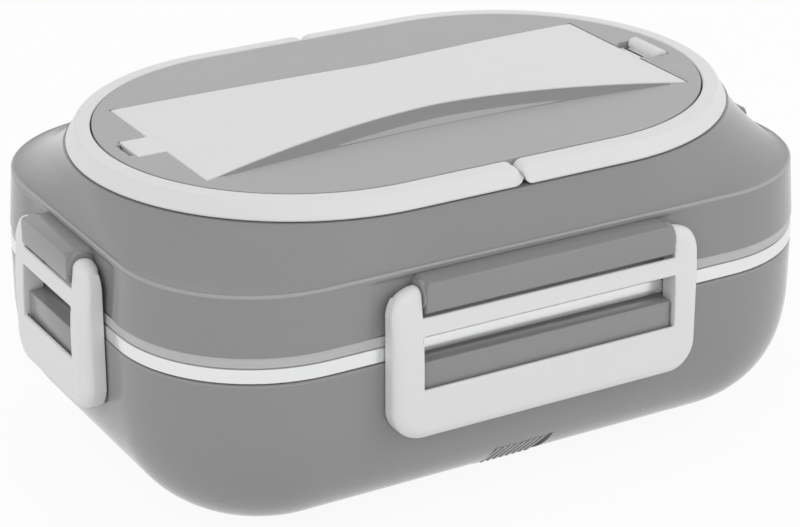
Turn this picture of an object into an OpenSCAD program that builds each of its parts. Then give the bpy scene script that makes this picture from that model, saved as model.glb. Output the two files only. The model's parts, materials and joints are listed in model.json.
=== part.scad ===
// Electric lunch box: a rounded oblong heating base, a lift-out steel food
// container, a lid with a two-part swing handle and a cutlery bay, and four
// snap latches. The origin is at the middle of the standing plane, X runs
// along the case, Y across it to the rear, Z up.

/* [Body] */
// Length of the case over its end walls
body_l = 228; // [190:1:274]
// Width of the case over its side walls
body_w = 160; // [134:1:192]
// Plan radius of the case corners
corner_r = 44.5; // [37:0.5:53]
// Wall of the moulded outer shells
shell_t = 2.2; // [1.8:0.1:2.6]
// Flat steps in each rounded corner
corner_steps = 10; // [6:1:16]

/* [Base] */
// Height of the base rim above the table
base_h = 59.4; // [56:0.2:66]
// Height of the flat underside above the table, equal to the feet
foot_h = 2.4; // [1.5:0.1:4]
// Radius of the rubber feet
foot_r = 6; // [4:0.5:8]
// Height of the rounded lower part of the side walls
belly_h = 47.5; // [40:0.5:52]
// How far the underside would draw in at table level
belly_in = 61.4; // [50:0.2:64]
// Squareness of the rounded lower part
belly_p = 2.67; // [2.2:0.01:3.2]
// Distance of the feet from the end walls
foot_in_x = 44; // [42:0.5:50]
// Distance of the feet from the side walls
foot_in_y = 58; // [48:0.5:59]
// Distance of the base screws from the end walls
screw_in_x = 42; // [40:0.5:50]
// Distance of the base screws from the side walls
screw_in_y = 44; // [42:0.5:46]
// Radius of the screw posts
post_r = 4; // [3.6:0.1:5]
// Radius of the base screws
screw_r = 1.4; // [1.2:0.05:1.6]
// Radius of the base screw heads
screw_head_r = 2.8; // [2.4:0.1:3.2]
// Width of the ribbed insert at the foot of the front wall
grille_w = 20.8; // [14:0.5:24]
// Height of the upper edge of the insert above the table
grille_z1 = 18.5; // [15:0.1:20]
// Number of ribs on the insert
grille_ribs = 8; // [5:1:9]
// Radius of the lamp lens
lens_r = 2.2; // [1.5:0.1:3]
// Distance of the lamp from the middle of the rear wall
lens_x = 22; // [18:0.5:40]
// Height of the lamp above the table
lens_z = 22; // [20:0.5:30]

/* [Food container] */
// Height of the steel band round the container rim
band_h = 4.4; // [3:0.1:6]
// Shadow gap between the base rim and the band
band_gap = 0.4; // [0.3:0.05:0.8]
// Thickness of the container steel
steel_t = 0.7; // [0.5:0.05:0.9]
// Inset of the container wall from the case wall
pan_in = 9.5; // [8.5:0.1:12]
// Depth of the container from its rim to its underside
pan_depth = 43.7; // [38:0.1:44]
// Height of the rounded lower part of the container
pan_belly_h = 23.5; // [16:0.5:28]
// Draw-in of the container underside
pan_belly_in = 20; // [14:0.5:24]
// Height of the partition
divider_h = 34; // [20:0.5:36]
// Place of the partition along the case
divider_x = 22; // [-40:1:40]
// Half width of the folded partition at its foot
divider_foot = 8; // [6:0.5:12]
// Half width of the folded partition at its top
divider_head = 2.4; // [2:0.1:4]
// Wall of the folded partition
divider_t = 0.8; // [0.6:0.1:1]
// Wall of the well liner
liner_t = 1.6; // [1.2:0.1:1.8]
// Clearance between the container and the well liner
liner_gap = 0.8; // [0.6:0.1:1]

/* [Lid] */
// Height of the pale seal lip over the band
lip_h = 3.3; // [2.6:0.1:4]
// Height of the lid skirt up to the crest line
skirt_h = 18.2; // [14:0.1:22]
// Draft of the skirt from its foot to the crest line
skirt_draft = 1.4; // [0.8:0.1:2]
// Rise of the hollow shoulder over the crest line
shoulder_h = 13.5; // [11:0.1:16]
// Flatness of the shoulder where it leaves the crest line
shoulder_p = 1.6; // [1.3:0.05:2]
// Steepness of the shoulder where it meets the deck
shoulder_q = 0.8; // [0.6:0.05:0.95]
// Thickness of the top plate
plate_t = 3.4; // [3:0.1:4]
// Wall of the rim under the top plate
plate_rim_t = 2.4; // [2:0.1:3]
// Thickness of the inner lid panel
panel_t = 1.4; // [1.2:0.1:1.6]
// Width of the seal ring
seal_w = 2.8; // [2:0.1:3]
// Radius of the screws that hold the inner lid
lid_screw_r = 1.3; // [1.1:0.05:1.5]
// Radius of the screws that hold the top plate
trim_screw_r = 0.95; // [0.8:0.05:1.1]

/* [Handle] */
// Distance from the case end wall to the handle ring
ring_end_in = 7.4; // [6:0.1:9]
// Distance from the case side wall to the handle ring
ring_side_in = 9.8; // [9:0.1:12]
// Width of the ring on its underside
ring_w = 7.5; // [6:0.1:9]
// Width of the flat on top of the ring
ring_top_w = 4.2; // [3:0.1:5]
// Height of the ring
ring_h = 5.6; // [4.6:0.1:6.6]
// Radius of the handle pivot pins
handle_pin_r = 1.25; // [1:0.05:1.5]

/* [Cutlery bay] */
// Distance from each end of the top plate to the cover
cover_end_in = 15; // [14.5:0.1:18]
// Width of the cover at its ends
cover_w = 66.6; // [56:0.2:70]
// Width of the cover at its waist
waist_w = 41.2; // [38:0.2:46]
// Width of the raised surround at the waist, at plate level
flank_w = 55.2; // [50:0.2:58]
// Rise of the arched cover over the plate
arch_h = 4.2; // [3:0.1:5]
// Thickness of the cover
cover_t = 1.6; // [1.4:0.1:1.8]
// Inside width of the cutlery tray
tray_w = 34; // [28:0.5:35]
// Depth of the tray below the top plate
tray_d = 15; // [10:0.5:18]
// Wall of the tray
tray_t = 1.4; // [1.2:0.1:1.8]
// Distance from the right end of the top plate to the hinge axis
hinge_in = 6.7; // [6.2:0.1:7.2]
// Radius of the hinge barrel
barrel_r = 2.4; // [2.2:0.1:2.6]
// Length of the hinge barrel
barrel_l = 16; // [12:0.5:20]
// Radius of the cover hinge pin
cover_pin_r = 0.75; // [0.6:0.05:0.8]
// Half width of the snap tab
tab_half_w = 6.8; // [5:0.1:9]

/* [Latches] */
// Width of the front and rear latches
latch_w_long = 104.6; // [90:0.2:112]
// Width of the end latches
latch_w_short = 53.8; // [46:0.2:60]
// Width of each side limb of a latch
limb_w = 9.2; // [8:0.1:11]
// Depth of a latch from the recessed wall
latch_d = 8.1; // [7.6:0.1:9]
// Height of the lower edge of the latches
latch_z0 = 35.4; // [34:0.2:40]
// Height of the window sill, where the hook begins
sill_z = 51.3; // [50.5:0.1:52]
// Height of the underside of the crossbar
bar_z0 = 68.3; // [67:0.1:69]
// Height of the top of the crossbar
bar_z1 = 73.8; // [72.5:0.1:74]
// Height of the latch pins
latch_pin_z = 79.5; // [79:0.1:80.5]
// Radius of the latch pins
latch_pin_r = 1.25; // [1:0.05:1.4]
// Corner radius of a latch, seen from the front
latch_corner_r = 9.6; // [6:0.1:10]
// How far the rounding of a latch's side edges reaches over its face
latch_edge_w = 5.5; // [2:0.1:6]
// How far the rounding of a latch's lower edge reaches up its face
latch_foot_h = 3.6; // [1:0.1:5]
// How far back the rounding of a latch's outer edges reaches
latch_edge_d = 3.4; // [1:0.1:4]
// Depth of the wall recess behind each latch
pad_d = 0.8; // [0.5:0.1:1]
// Projection of the catch ledges
ledge_d = 6.4; // [6:0.1:6.6]

/* [Heater] */
// Length of the heating plate
plate_l = 118; // [100:1:124]
// Width of the heating plate
plate_w = 58; // [50:1:64]
// Thickness of the heating plate
heat_t = 1.5; // [1:0.1:2]
// Length of the ceramic heater
heater_l = 62; // [50:1:66]
// Width of the ceramic heater
heater_w = 30; // [24:0.5:32]
// Thickness of the ceramic heater
heater_t = 3.2; // [2.5:0.1:3.6]
// Thickness of the strip that clamps the heater
clamp_t = 0.8; // [0.6:0.1:1]
// Radius of the screws that hold the heating plate
heat_screw_r = 1; // [0.8:0.05:1.1]
// Thickness of the insulation pad
pad_t = 2; // [1.5:0.1:2.4]
// Radius of the thermostat
thermostat_r = 5; // [4:0.1:6]
// Height of the thermostat
thermostat_h = 5.4; // [4:0.1:6]
// Radius of the thermal fuse
fuse_r = 1.7; // [1.4:0.1:2]
// Length of the thermal fuse
fuse_l = 14; // [10:0.5:16]
// Radius of the wires
wire_r = 0.9; // [0.7:0.05:1]

/* [Power inlet] */
// Inset of the inlet face from the rear wall
inlet_in = 22; // [21:0.1:23]
// Width of the inlet recess
recess_w = 24; // [23:0.2:27]
// Top of the inlet recess
recess_z1 = 17.4; // [17:0.1:17.8]
// Width of the inlet socket
socket_w = 15.4; // [14:0.1:16]
// Height of the inlet socket
socket_h = 7.4; // [7:0.1:7.8]
// Depth of the inlet socket
socket_d = 9.5; // [8:0.1:10]
// Distance of each contact pin from the middle of the socket
inlet_pin_x = 4.3; // [4:0.1:4.6]
// Radius of the contact pins
inlet_pin_r = 1.2; // [1:0.05:1.2]
// Thickness of the rubber flap
flap_t = 1.4; // [1:0.1:1.6]
// Radius of the flap hinge barrel
flap_r = 1.5; // [1.3:0.05:1.6]
// Radius of the flap hinge pin
flap_pin_r = 0.57; // [0.5:0.01:0.65]

/* [Fits] */
// Gap between parts of different bodies that never touch
gap = 0.3; // [0.25:0.05:0.4]
// Radial clearance of every hinge pin
pin_fit = 0.07; // [0.04:0.01:0.1]
// Radial clearance of pins and screws in the piece that holds them
pin_seat = 0.03; // [0.02:0.01:0.05]

/* [Hidden] */
$fn = 48;

// Colours
dark_grey = [0.50, 0.50, 0.51];
plate_grey = [0.63, 0.63, 0.64];
white_grey = [0.88, 0.88, 0.88];
lip_grey = [0.72, 0.72, 0.72];
steel = [0.80, 0.81, 0.83];

// Heights
band_z0 = base_h + band_gap;
band_z1 = band_z0 + band_h;
lid_z0 = band_z1 + lip_h;
crest_z = lid_z0 + skirt_h;
deck_z = crest_z + shoulder_h;
ring_z0 = deck_z + gap;
ring_z1 = ring_z0 + ring_h;
plate_z1 = ring_z1 - 0.2;
plate_z0 = plate_z1 - plate_t;
pan_z0 = band_z1 - pan_depth;
liner_z0 = pan_z0 - liner_gap - liner_t;
heat_z1 = pan_z0 - gap;
floor_z = foot_h + shell_t;
post_z1 = floor_z + 6;
rim_in = 1.1;

// Handle ring, a ring with straight sides
ring_ro = body_w / 2 - ring_side_in;
ring_s = body_l / 2 - ring_end_in - ring_ro;
ring_ri = ring_ro - ring_w;
ring_mid_z = (ring_z0 + ring_z1) / 2;
pivot_x = ring_h / 2 + 0.35;
plate_r = ring_ri - 0.5;
plate_hl = ring_s + plate_r;
deck_r = ring_ro + 0.7;
lid_open_r = plate_r - 6.2;

// Cutlery bay
cover_hl = plate_hl - cover_end_in;
tray_hl = cover_hl - 5.6;
tray_z0 = plate_z0 - tray_d;
seat_d = cover_t + 0.4;
hinge_x = plate_hl - hinge_in;
hinge_z = plate_z1 - 1.1;
tab_x = -(plate_hl - 6);
arch_r = (cover_hl * cover_hl + arch_h * arch_h) / (2 * arch_h);
bay_steps = 20;

// Latches, measured outwards from the recessed wall
wall_y = body_w / 2 - pad_d;
wall_x = body_l / 2 - pad_d;
latch_pin_u = 3.3;
eye_r = 3.7;
latch_back_u = 1.1;
hook_in = 1.05;
hook_gap = 0.4;
ledge_low = sill_z - 2.7;
bevel_w = 1.5;
bevel_h = 2.1;
long_half = latch_w_long / 2;
short_half = latch_w_short / 2;
long_win = long_half - limb_w;
short_win = short_half - limb_w;

// Inlet
inlet_y = body_w / 2 - inlet_in;
recess_z0 = 7.2;
block_z1 = recess_z1 + 0.6;
socket_z = (recess_z0 + recess_z1) / 2;
flap_y = body_w / 2 - 11.2;
flap_z = recess_z1 - 2;

flap_pin_hl = recess_w / 2 + 1.2;
inlet_nose_w = socket_w + 2.4;
inlet_nose_h = socket_h + 1.6;

// Heater, and the height and places of what lies beside it
touch = 0.05;
head_h = 1.1;
heater_z1 = liner_z0 - heat_t - 3 * touch;
beside_x = heater_l / 2 + 10;
fuse_z = heater_z1 - fuse_r - touch;
flange_w = 6;
plate_corner_r = 8;
clamp_y = heater_w / 2 + 4;
wire_z = floor_z + 4.1;
wire_sides = 10;
inlet_pin_back = 15.2;

// Inner lid and its seal
panel_in = 0.5;
panel_z0 = lid_z0 - panel_t;
panel_rim = 2.3;
seal_in = panel_in + panel_rim + gap;

// Hinge blocks on the lid
block_low_z = bar_z1 + 0.8;
block_top_z = crest_z - 0.7;

// A rounded oblong as a closed row of points
function outline(hx, hy, r, z) = [
    for (q = [0:3])
        for (i = [0:corner_steps])
            let (a = 90 * q + 90 * i / corner_steps,
                 cx = (q == 0 || q == 3 ? 1 : -1) * (hx - r),
                 cy = (q < 2 ? 1 : -1) * (hy - r))
            [cx + r * cos(a), cy + r * sin(a), z]
];

// The case outline drawn in by an inset
function case_outline(inset, z) =
    outline(body_l / 2 - inset, body_w / 2 - inset, corner_r - inset, z);

// Draw-in of a rounded lower wall at height z
function belly(z, z0, h, inset, p) =
    let (v = max(0, min(1, (z0 + h - z) / h)))
    inset * (1 - pow(max(0, 1 - pow(v, p)), 1 / p));

function base_inset(z) = belly(z, 0, belly_h, belly_in, belly_p);
function pan_inset(z) = pan_in + belly(z, pan_z0, pan_belly_h, pan_belly_in, 2.2);
function liner_inset(z) =
    pan_in - liner_gap - liner_t
    + belly(z, liner_z0, pan_belly_h + pan_z0 - liner_z0, pan_belly_in, 2.2);

// Half widths of the cover, of its surround and its rise along the case
function along(x) = min(1, abs(x) / cover_hl);
function waist(x) = (waist_w + (cover_w - waist_w) * pow(along(x), 1.5)) / 2;
function flank(x) = (flank_w + (cover_w + 1 - flank_w) * pow(along(x), 2)) / 2;
function rise(x) = sqrt(max(0, arch_r * arch_r - x * x)) - (arch_r - arch_h);

// Slanted seat of the ribbed insert, as [outward, up], and its normal
grille_z0 = 6.4;
grille_d = 1.4;
grille_low = [body_w / 2 - base_inset(grille_z0), grille_z0];
grille_high = [body_w / 2 - base_inset(grille_z1) - grille_d, grille_z1];
grille_run = norm(grille_high - grille_low);
grille_n = [(grille_high[1] - grille_low[1]) / grille_run, -(grille_high[0] - grille_low[0]) / grille_run];

// A solid through a stack of outlines with equal numbers of points
module loft(rows) {
    n = len(rows[0]);
    m = len(rows);
    points = [for (row = rows) each row];
    sides = [
        for (j = [0:m - 2])
            for (i = [0:n - 1])
                let (k = (i + 1) % n, a = j * n, b = (j + 1) * n)
                each [[a + i, b + i, b + k], [a + i, b + k, a + k]]
    ];
    low = [for (i = [0:n - 1]) i];
    high = [for (i = [n - 1:-1:0]) (m - 1) * n + i];
    polyhedron(points, concat([low, high], sides), convexity = 6);
}

// A flat rounded oblong with true arcs
module oblong(hx, hy, r) {
    square([2 * (hx - r), 2 * hy], center = true);
    square([2 * hx, 2 * (hy - r)], center = true);
    for (sx = [-1, 1])
        for (sy = [-1, 1])
            translate([sx * (hx - r), sy * (hy - r)])
                circle(r);
}

module slab(hx, hy, r, z0, z1) {
    translate([0, 0, z0])
        linear_extrude(z1 - z0)
            oblong(hx, hy, r);
}

// A flat slab with the plan outline of the case, drawn in by an inset
module case_slab(inset, z0, z1) {
    slab(body_l / 2 - inset, body_w / 2 - inset, corner_r - inset, z0, z1);
}

// A straight-sided ring or disc of radius r round the handle centre line
module track(r, z0, z1) {
    translate([0, 0, z0])
        linear_extrude(z1 - z0) {
            square([2 * ring_s, 2 * r], center = true);
            for (s = [-1, 1])
                translate([s * ring_s, 0])
                    circle(r, $fn = 96);
        }
}

module rod_x(r, x0, x1, y, z) {
    translate([x0, y, z])
        rotate([0, 90, 0])
            cylinder(r = r, h = x1 - x0);
}

module rod_y(r, y0, y1, x, z) {
    translate([x, y0, z])
        rotate([-90, 0, 0])
            cylinder(r = r, h = y1 - y0);
}

// A prism along X whose outline is drawn as [outward, up]
module side_prism(half) {
    translate([-half, 0, 0])
        rotate([90, 0, 90])
            mirror([1, 0, 0])
                linear_extrude(2 * half)
                    children();
}

// Places a side feature, drawn at the front wall, on one of the four sides
module on_side(k) {
    turn = [0, 180, -90, 90][k];
    wall = k < 2 ? wall_y : wall_x;
    rotate([0, 0, turn])
        translate([0, -wall, 0])
            children();
}

function side_half(k) = k < 2 ? long_half : short_half;
function side_win(k) = k < 2 ? long_win : short_win;

// Base
module base_outer() {
    loft([for (z = [foot_h, 4, 6, 9, 13, 18, 24, 31, 39, belly_h, base_h]) case_outline(base_inset(z), z)]);
}

module base_hollow() {
    loft([for (z = [floor_z, 6.5, 9, 12, 16, 21, 27, 34, belly_h, base_h + 1])
        case_outline(base_inset(z - 0.6 * shell_t * max(0, 1 - z / belly_h)) + shell_t, z)]);
}

module screw_places() {
    for (sx = [-1, 1])
        for (sy = [-1, 1])
            translate([sx * (body_l / 2 - screw_in_x), sy * (body_w / 2 - screw_in_y), 0])
                children();
}

module catch_ledge(k) {
    side_prism(side_win(k) - 0.7)
        polygon([
            [-1, base_h], [ledge_d, base_h], [ledge_d, ledge_low + bevel_h],
            [ledge_d - bevel_w, ledge_low], [-1, ledge_low]
        ]);
}

// A point at a share t up the seat of the ribbed insert and lifted off it
function on_seat(t, lift) = grille_low + t * (grille_high - grille_low) + lift * grille_n;

module grille_seat() {
    side_prism(grille_w / 2)
        polygon([on_seat(0, 0), grille_high, grille_high + [20, 0], grille_low + [20, -14]]);
}

module base_shell() {
    color(dark_grey)
    difference() {
        union() {
            difference() {
                base_outer();
                base_hollow();
            }
            intersection() {
                base_outer();
                translate([-grille_w / 2 - shell_t, -body_w / 2, foot_h])
                    cube([grille_w + 2 * shell_t, inlet_in, grille_z1 + 0.6 - foot_h]);
            }
            screw_places()
                translate([0, 0, foot_h + 1])
                    cylinder(r = post_r, h = post_z1 - foot_h - 1);
            for (k = [0:3])
                on_side(k)
                    catch_ledge(k);
        }
        grille_seat();
        inlet_notch(touch);
        // lens hole
        rod_y(lens_r + 0.1, body_w / 2 - 12, body_w / 2 + 2, lens_x, lens_z);
        // base screws, with sunk heads
        screw_places() {
            translate([0, 0, foot_h - 1])
                cylinder(r = screw_r + 0.3, h = post_z1 - foot_h + 2);
            translate([0, 0, foot_h - 1])
                cylinder(r = screw_head_r + 0.4, h = head_h + 1.3);
        }
    }
}

// Notch at the foot of the rear wall, which the inlet housing fills
module inlet_notch(grow) {
    half = recess_w / 2 + shell_t + grow;
    y0 = inlet_y - shell_t - grow;
    translate([-half, y0, -1])
        cube([2 * half, body_w / 2 - y0 + 1, block_z1 + grow + 1]);
}

// Moulded housing of the power inlet, flush with the base
module inlet_housing() {
    color([0.14, 0.14, 0.14])
    difference() {
        intersection() {
            base_outer();
            inlet_notch(0);
        }
        translate([-recess_w / 2, inlet_y, recess_z0])
            cube([recess_w, 2 * inlet_in, recess_z1 - recess_z0]);
        translate([-inlet_nose_w / 2 - 0.2, inlet_y - 10, socket_z - inlet_nose_h / 2 - 0.1])
            cube([inlet_nose_w + 0.4, 11, inlet_nose_h + 0.2]);
        rod_x(flap_pin_r + pin_seat, -flap_pin_hl - 0.2, flap_pin_hl + 0.2, flap_y, flap_z);
    }
}

module rubber_feet() {
    color([0.12, 0.12, 0.12])
    for (sx = [-1, 1])
        for (sy = [-1, 1])
            translate([sx * (body_l / 2 - foot_in_x), sy * (body_w / 2 - foot_in_y), 0])
                cylinder(r1 = foot_r - 0.6, r2 = foot_r, h = foot_h);
}

module base_screws() {
    color(steel)
    screw_places()
        screw_up(screw_r, screw_head_r, foot_h + 0.1, liner_z0 - foot_h - 0.9);
}

// A screw driven upwards, with its slotted head at height z
module screw_up(r, head_r, z, length) {
    difference() {
        union() {
            translate([0, 0, z])
                cylinder(r = head_r, h = head_h);
            translate([0, 0, z])
                cylinder(r = r, h = length);
        }
        translate([0, 0, z])
            cube([0.6, 1.8 * head_r, 1], center = true);
    }
}

// Well that carries the food container over the heater
module liner_hollow() {
    loft([for (z = [liner_z0 + liner_t, liner_z0 + 3, liner_z0 + 5, liner_z0 + 8, liner_z0 + 12,
                    liner_z0 + 18, liner_z0 + 25, band_z1])
        case_outline(liner_inset(z) + liner_t, z)]);
}

module well_liner() {
    rim_top = band_z1 - steel_t - gap;
    rim_t = 1.8;
    color([0.86, 0.86, 0.85])
    difference() {
        union() {
            loft([for (z = [liner_z0, liner_z0 + 1.5, liner_z0 + 4, liner_z0 + 7, liner_z0 + 11,
                            liner_z0 + 17, liner_z0 + 24, rim_top - 0.5])
                case_outline(liner_inset(z), z)]);
            case_slab(rim_in, rim_top - rim_t, rim_top);
            difference() {
                case_slab(rim_in, base_h, rim_top);
                case_slab(rim_in + rim_t, base_h - 1, rim_top + 1);
            }
            screw_places()
                translate([0, 0, post_z1 + 0.2])
                    cylinder(r = post_r, h = liner_z0 + liner_t / 2 - post_z1);
        }
        liner_hollow();
        slab(plate_l / 2, plate_w / 2, plate_corner_r, liner_z0 - 1, liner_z0 + liner_t + 1);
        heat_screw_places()
            translate([0, 0, liner_z0 - 1])
                cylinder(r = heat_screw_r + pin_seat, h = liner_t + 2);
        screw_places()
            translate([0, 0, post_z1 - 1])
                cylinder(r = screw_r + pin_seat, h = liner_z0 - post_z1 + 0.6);
    }
}

module heat_screw_places() {
    for (sx = [-1, 1])
        for (sy = [-1, 1])
            translate([sx * (plate_l / 2 + flange_w / 2), sy * (plate_w / 2 - 7), 0])
                children();
}

module heating_plate() {
    color([0.75, 0.76, 0.78])
    difference() {
        union() {
            slab(plate_l / 2 - gap, plate_w / 2 - gap, plate_corner_r - gap, liner_z0 - heat_t, heat_z1);
            slab(plate_l / 2 + flange_w, plate_w / 2 + flange_w / 3, plate_corner_r,
                 liner_z0 - touch - heat_t, liner_z0 - touch);
        }
        heat_screw_places()
            translate([0, 0, liner_z0 - heat_t - 1])
                cylinder(r = heat_screw_r + 0.2, h = heat_t + 2);
    }
}

module heat_screws() {
    color(steel)
    heat_screw_places()
        screw_up(heat_screw_r, 2 * heat_screw_r, liner_z0 - heat_t - 2 * touch - head_h,
                 head_h + heat_t + liner_t - 0.2);
}

module heater_element() {
    color([0.85, 0.83, 0.76])
    translate([0, 0, heater_z1 - heater_t])
        linear_extrude(heater_t)
            oblong(heater_l / 2, heater_w / 2, 3);
}

module heater_clamp() {
    half_w = 4;
    block = 3;
    z1 = heater_z1 + touch;
    z0 = heater_z1 - heater_t - touch - clamp_t;
    color([0.66, 0.67, 0.69])
    difference() {
        union() {
            translate([-half_w, -clamp_y - block, z0])
                cube([2 * half_w, 2 * (clamp_y + block), clamp_t]);
            for (s = [-1, 1])
                translate([-half_w, s * clamp_y - block, z0])
                    cube([2 * half_w, 2 * block, z1 - z0]);
        }
        for (s = [-1, 1])
            translate([0, s * clamp_y, z0 - 1])
                cylinder(r = heat_screw_r, h = z1 - z0 + 2);
    }
}

module insulation_pad() {
    color([0.92, 0.90, 0.84])
    slab(beside_x + 4, clamp_y + 6, 6, floor_z + gap, floor_z + gap + pad_t);
}

module thermostat() {
    tab_w = 3.2;
    tab_t = 0.8;
    z0 = heater_z1 - thermostat_h;
    color([0.20, 0.20, 0.21]) {
        translate([beside_x, 0, z0])
            cylinder(r = thermostat_r, h = thermostat_h);
        for (s = [-1, 1])
            translate([beside_x - tab_t / 2, s * (thermostat_r + 1) - tab_w / 2, z0 + 1])
                cube([tab_t, tab_w, tab_t]);
    }
}

module thermal_fuse() {
    color([0.93, 0.93, 0.90])
    rod_y(fuse_r, -fuse_l / 2, fuse_l / 2, -beside_x, fuse_z);
}

function unit(v) = v / norm(v);

// Direction of a route at one of its points, halfway round each bend
function route_dir(points, i) =
    unit((i > 0 ? unit(points[i] - points[i - 1]) : [0, 0, 0])
         + (i < len(points) - 1 ? unit(points[i + 1] - points[i]) : [0, 0, 0]));

function wire_ring(centre, d) =
    let (side = unit(cross([0, 0, 1], d)), up = cross(d, side))
    [for (i = [0:wire_sides - 1])
        let (a = 360 * i / wire_sides) centre + wire_r * (cos(a) * side + sin(a) * up)];

// A round wire along a route
module wire(points) {
    loft([for (i = [0:len(points) - 1]) wire_ring(points[i], route_dir(points, i))]);
}

module wiring() {
    color([0.75, 0.16, 0.12])
    for (s = [-1, 1])
        let (start = [s * inlet_pin_x, inlet_y - inlet_pin_back - 0.2, socket_z],
             end = s > 0 ? [beside_x, thermostat_r + 2.6 + gap, heater_z1 - thermostat_h + 1.4]
                         : [-beside_x, fuse_l / 2 + gap, fuse_z])
        wire([
            start, start - [0, 1.5, 0], [start[0], start[1] - 6, wire_z],
            [s * (beside_x - 17), clamp_y + 8, wire_z], end + [0, 4, 0], end
        ]);
}

// Two-pin power inlet at the foot of the rear wall
module power_inlet() {
    color([0.10, 0.10, 0.10])
    difference() {
        union() {
            translate([-inlet_nose_w / 2, inlet_y - 3.2, socket_z - inlet_nose_h / 2])
                cube([inlet_nose_w, 3.1, inlet_nose_h]);
            translate([-inlet_nose_w / 2 - 1.6, inlet_y - shell_t - touch - 1.8, socket_z - inlet_nose_h / 2])
                cube([inlet_nose_w + 3.2, 1.8, inlet_nose_h]);
            translate([-inlet_nose_w / 2, inlet_y - 13, socket_z - inlet_nose_h / 2])
                cube([inlet_nose_w, 9.5, inlet_nose_h]);
        }
        translate([0, inlet_y + 0.1, socket_z])
            rotate([90, 0, 0])
                linear_extrude(socket_d)
                    oblong(socket_w / 2, socket_h / 2, socket_h / 2 - 0.4);
        for (s = [-1, 1])
            rod_y(inlet_pin_r + 0.05, inlet_y - 14, inlet_y - 5, s * inlet_pin_x, socket_z);
    }
}

module inlet_pins() {
    color([0.80, 0.66, 0.30])
    for (s = [-1, 1])
        rod_y(inlet_pin_r, inlet_y - inlet_pin_back, inlet_y - 1.5, s * inlet_pin_x, socket_z);
}

module indicator_lens() {
    outer_y = body_w / 2 - base_inset(lens_z);
    color([0.75, 0.12, 0.10])
    rod_y(lens_r, outer_y - shell_t - 1.5, outer_y + 0.4, lens_x, lens_z);
}

// A strip along the seat of the ribbed insert, between two shares and lifts
module seat_strip(t0, t1, low, high) {
    polygon([on_seat(t0, low), on_seat(t1, low), on_seat(t1, high), on_seat(t0, high)]);
}

module front_grille() {
    rib_pitch = (grille_w - 2.8) / grille_ribs;
    back_t = 0.65;
    rib_t = 0.45;
    color([0.58, 0.58, 0.59]) {
        side_prism(grille_w / 2 - gap)
            seat_strip(0.10, 0.97, touch, touch + back_t);
        for (i = [0:grille_ribs - 1])
            translate([(i - (grille_ribs - 1) / 2) * rib_pitch, 0, 0])
                side_prism(rib_pitch / 4)
                    seat_strip(0.16, 0.92, back_t, touch + back_t + rib_t);
    }
}

module flap_pin() {
    color(steel)
    rod_x(flap_pin_r, -flap_pin_hl, flap_pin_hl, flap_y, flap_z);
}

// Rubber flap over the inlet, closed along the slanted mouth of its recess
module inlet_flap() {
    low = [inlet_y + 3.75, recess_z0 + 1.25];
    top = [flap_y, flap_z];
    run = (low - top) / norm(low - top);
    inside = 0.2 * [run[1], -run[0]];
    outside = (flap_t - 0.2) * [-run[1], run[0]];
    color([0.16, 0.16, 0.16])
    difference() {
        union() {
            rod_x(flap_r, -recess_w / 2 + 0.5, recess_w / 2 - 0.5, flap_y, flap_z);
            rotate([0, 0, 180])
                side_prism(recess_w / 2 - 0.5)
                    polygon([top + inside, low + inside, low + outside, top + outside]);
        }
        rod_x(flap_pin_r + pin_fit, -recess_w, recess_w, flap_y, flap_z);
    }
}

// Food container
module pan_solid(extra, z0) {
    loft([for (z = [z0, z0 + 1.2, z0 + 3, z0 + 6, z0 + 10, z0 + 16, pan_z0 + pan_belly_h, band_z1 + extra])
        case_outline(pan_inset(z - extra) + extra, z)]);
}

module food_container() {
    color(steel)
    difference() {
        union() {
            pan_solid(0, pan_z0);
            case_slab(0, band_z1 - steel_t, band_z1);
            difference() {
                case_slab(0, band_z0, band_z1);
                case_slab(steel_t, band_z0 - 1, band_z1 - steel_t);
            }
        }
        pan_solid(steel_t, pan_z0 + steel_t);
    }
}

// Folded partition that stands across the container
module container_divider() {
    z0 = pan_z0 + steel_t + 0.25;
    color([0.78, 0.79, 0.81])
    intersection() {
        pan_solid(steel_t + gap, z0);
        translate([divider_x, 0, z0])
            difference() {
                fold(divider_foot, divider_head, divider_h);
                translate([0, 0, -0.1])
                    fold(divider_foot - divider_t, divider_head - divider_t, divider_h - divider_t);
            }
    }
}

module fold(foot, head, h) {
    rotate([90, 0, 0])
        linear_extrude(body_w, center = true)
            polygon([[-foot, 0], [foot, 0], [head, h], [-head, h]]);
}

// Lid
function shoulder(v) = pow(1 - pow(1 - v, 1 / shoulder_q), 1 / shoulder_p);

// Outline of the lid at a share v of the way up its shoulder
function shoulder_outline(v, inset, z) =
    let (f = shoulder(v),
         hx = body_l / 2 - skirt_draft,
         hy = body_w / 2 - skirt_draft,
         r = corner_r - skirt_draft,
         deck_hx = ring_s + deck_r)
    outline(hx + f * (deck_hx - hx) - inset, hy + f * (deck_r - hy) - inset,
            r + f * (deck_r - 0.5 - r) - inset, z);

module lid_solid(inset, z0) {
    deck = deck_z - inset;
    crest = crest_z - inset;
    loft(concat(
        [case_outline(inset, z0)],
        [for (v = [0, 0.01, 0.03, 0.06, 0.1, 0.15, 0.22, 0.3, 0.4, 0.5, 0.6, 0.7, 0.8, 0.9, 1])
            shoulder_outline(v, inset, crest + v * (deck - crest))]
    ));
}

// Hinge block of a latch, with a collar at each end of its bore
module hinge_block(k) {
    win = side_win(k);
    side_prism(win - 0.9)
        polygon([
            [-1.6, block_low_z], [6.6, block_low_z], [7.7, block_low_z + 1.1],
            [7.7, block_top_z - 0.8], [6.9, block_top_z], [-1.6, block_top_z]
        ]);
    rod_x(eye_r - 0.3, -win + gap, win - gap, -latch_pin_u, latch_pin_z);
}

module lid_recess(k) {
    side_prism(side_half(k) + 4 * gap)
        polygon([[0, lid_z0 - 1], [6, lid_z0 - 1], [6, crest_z], [-skirt_draft + 0.2, crest_z], [0, lid_z0]]);
}

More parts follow.
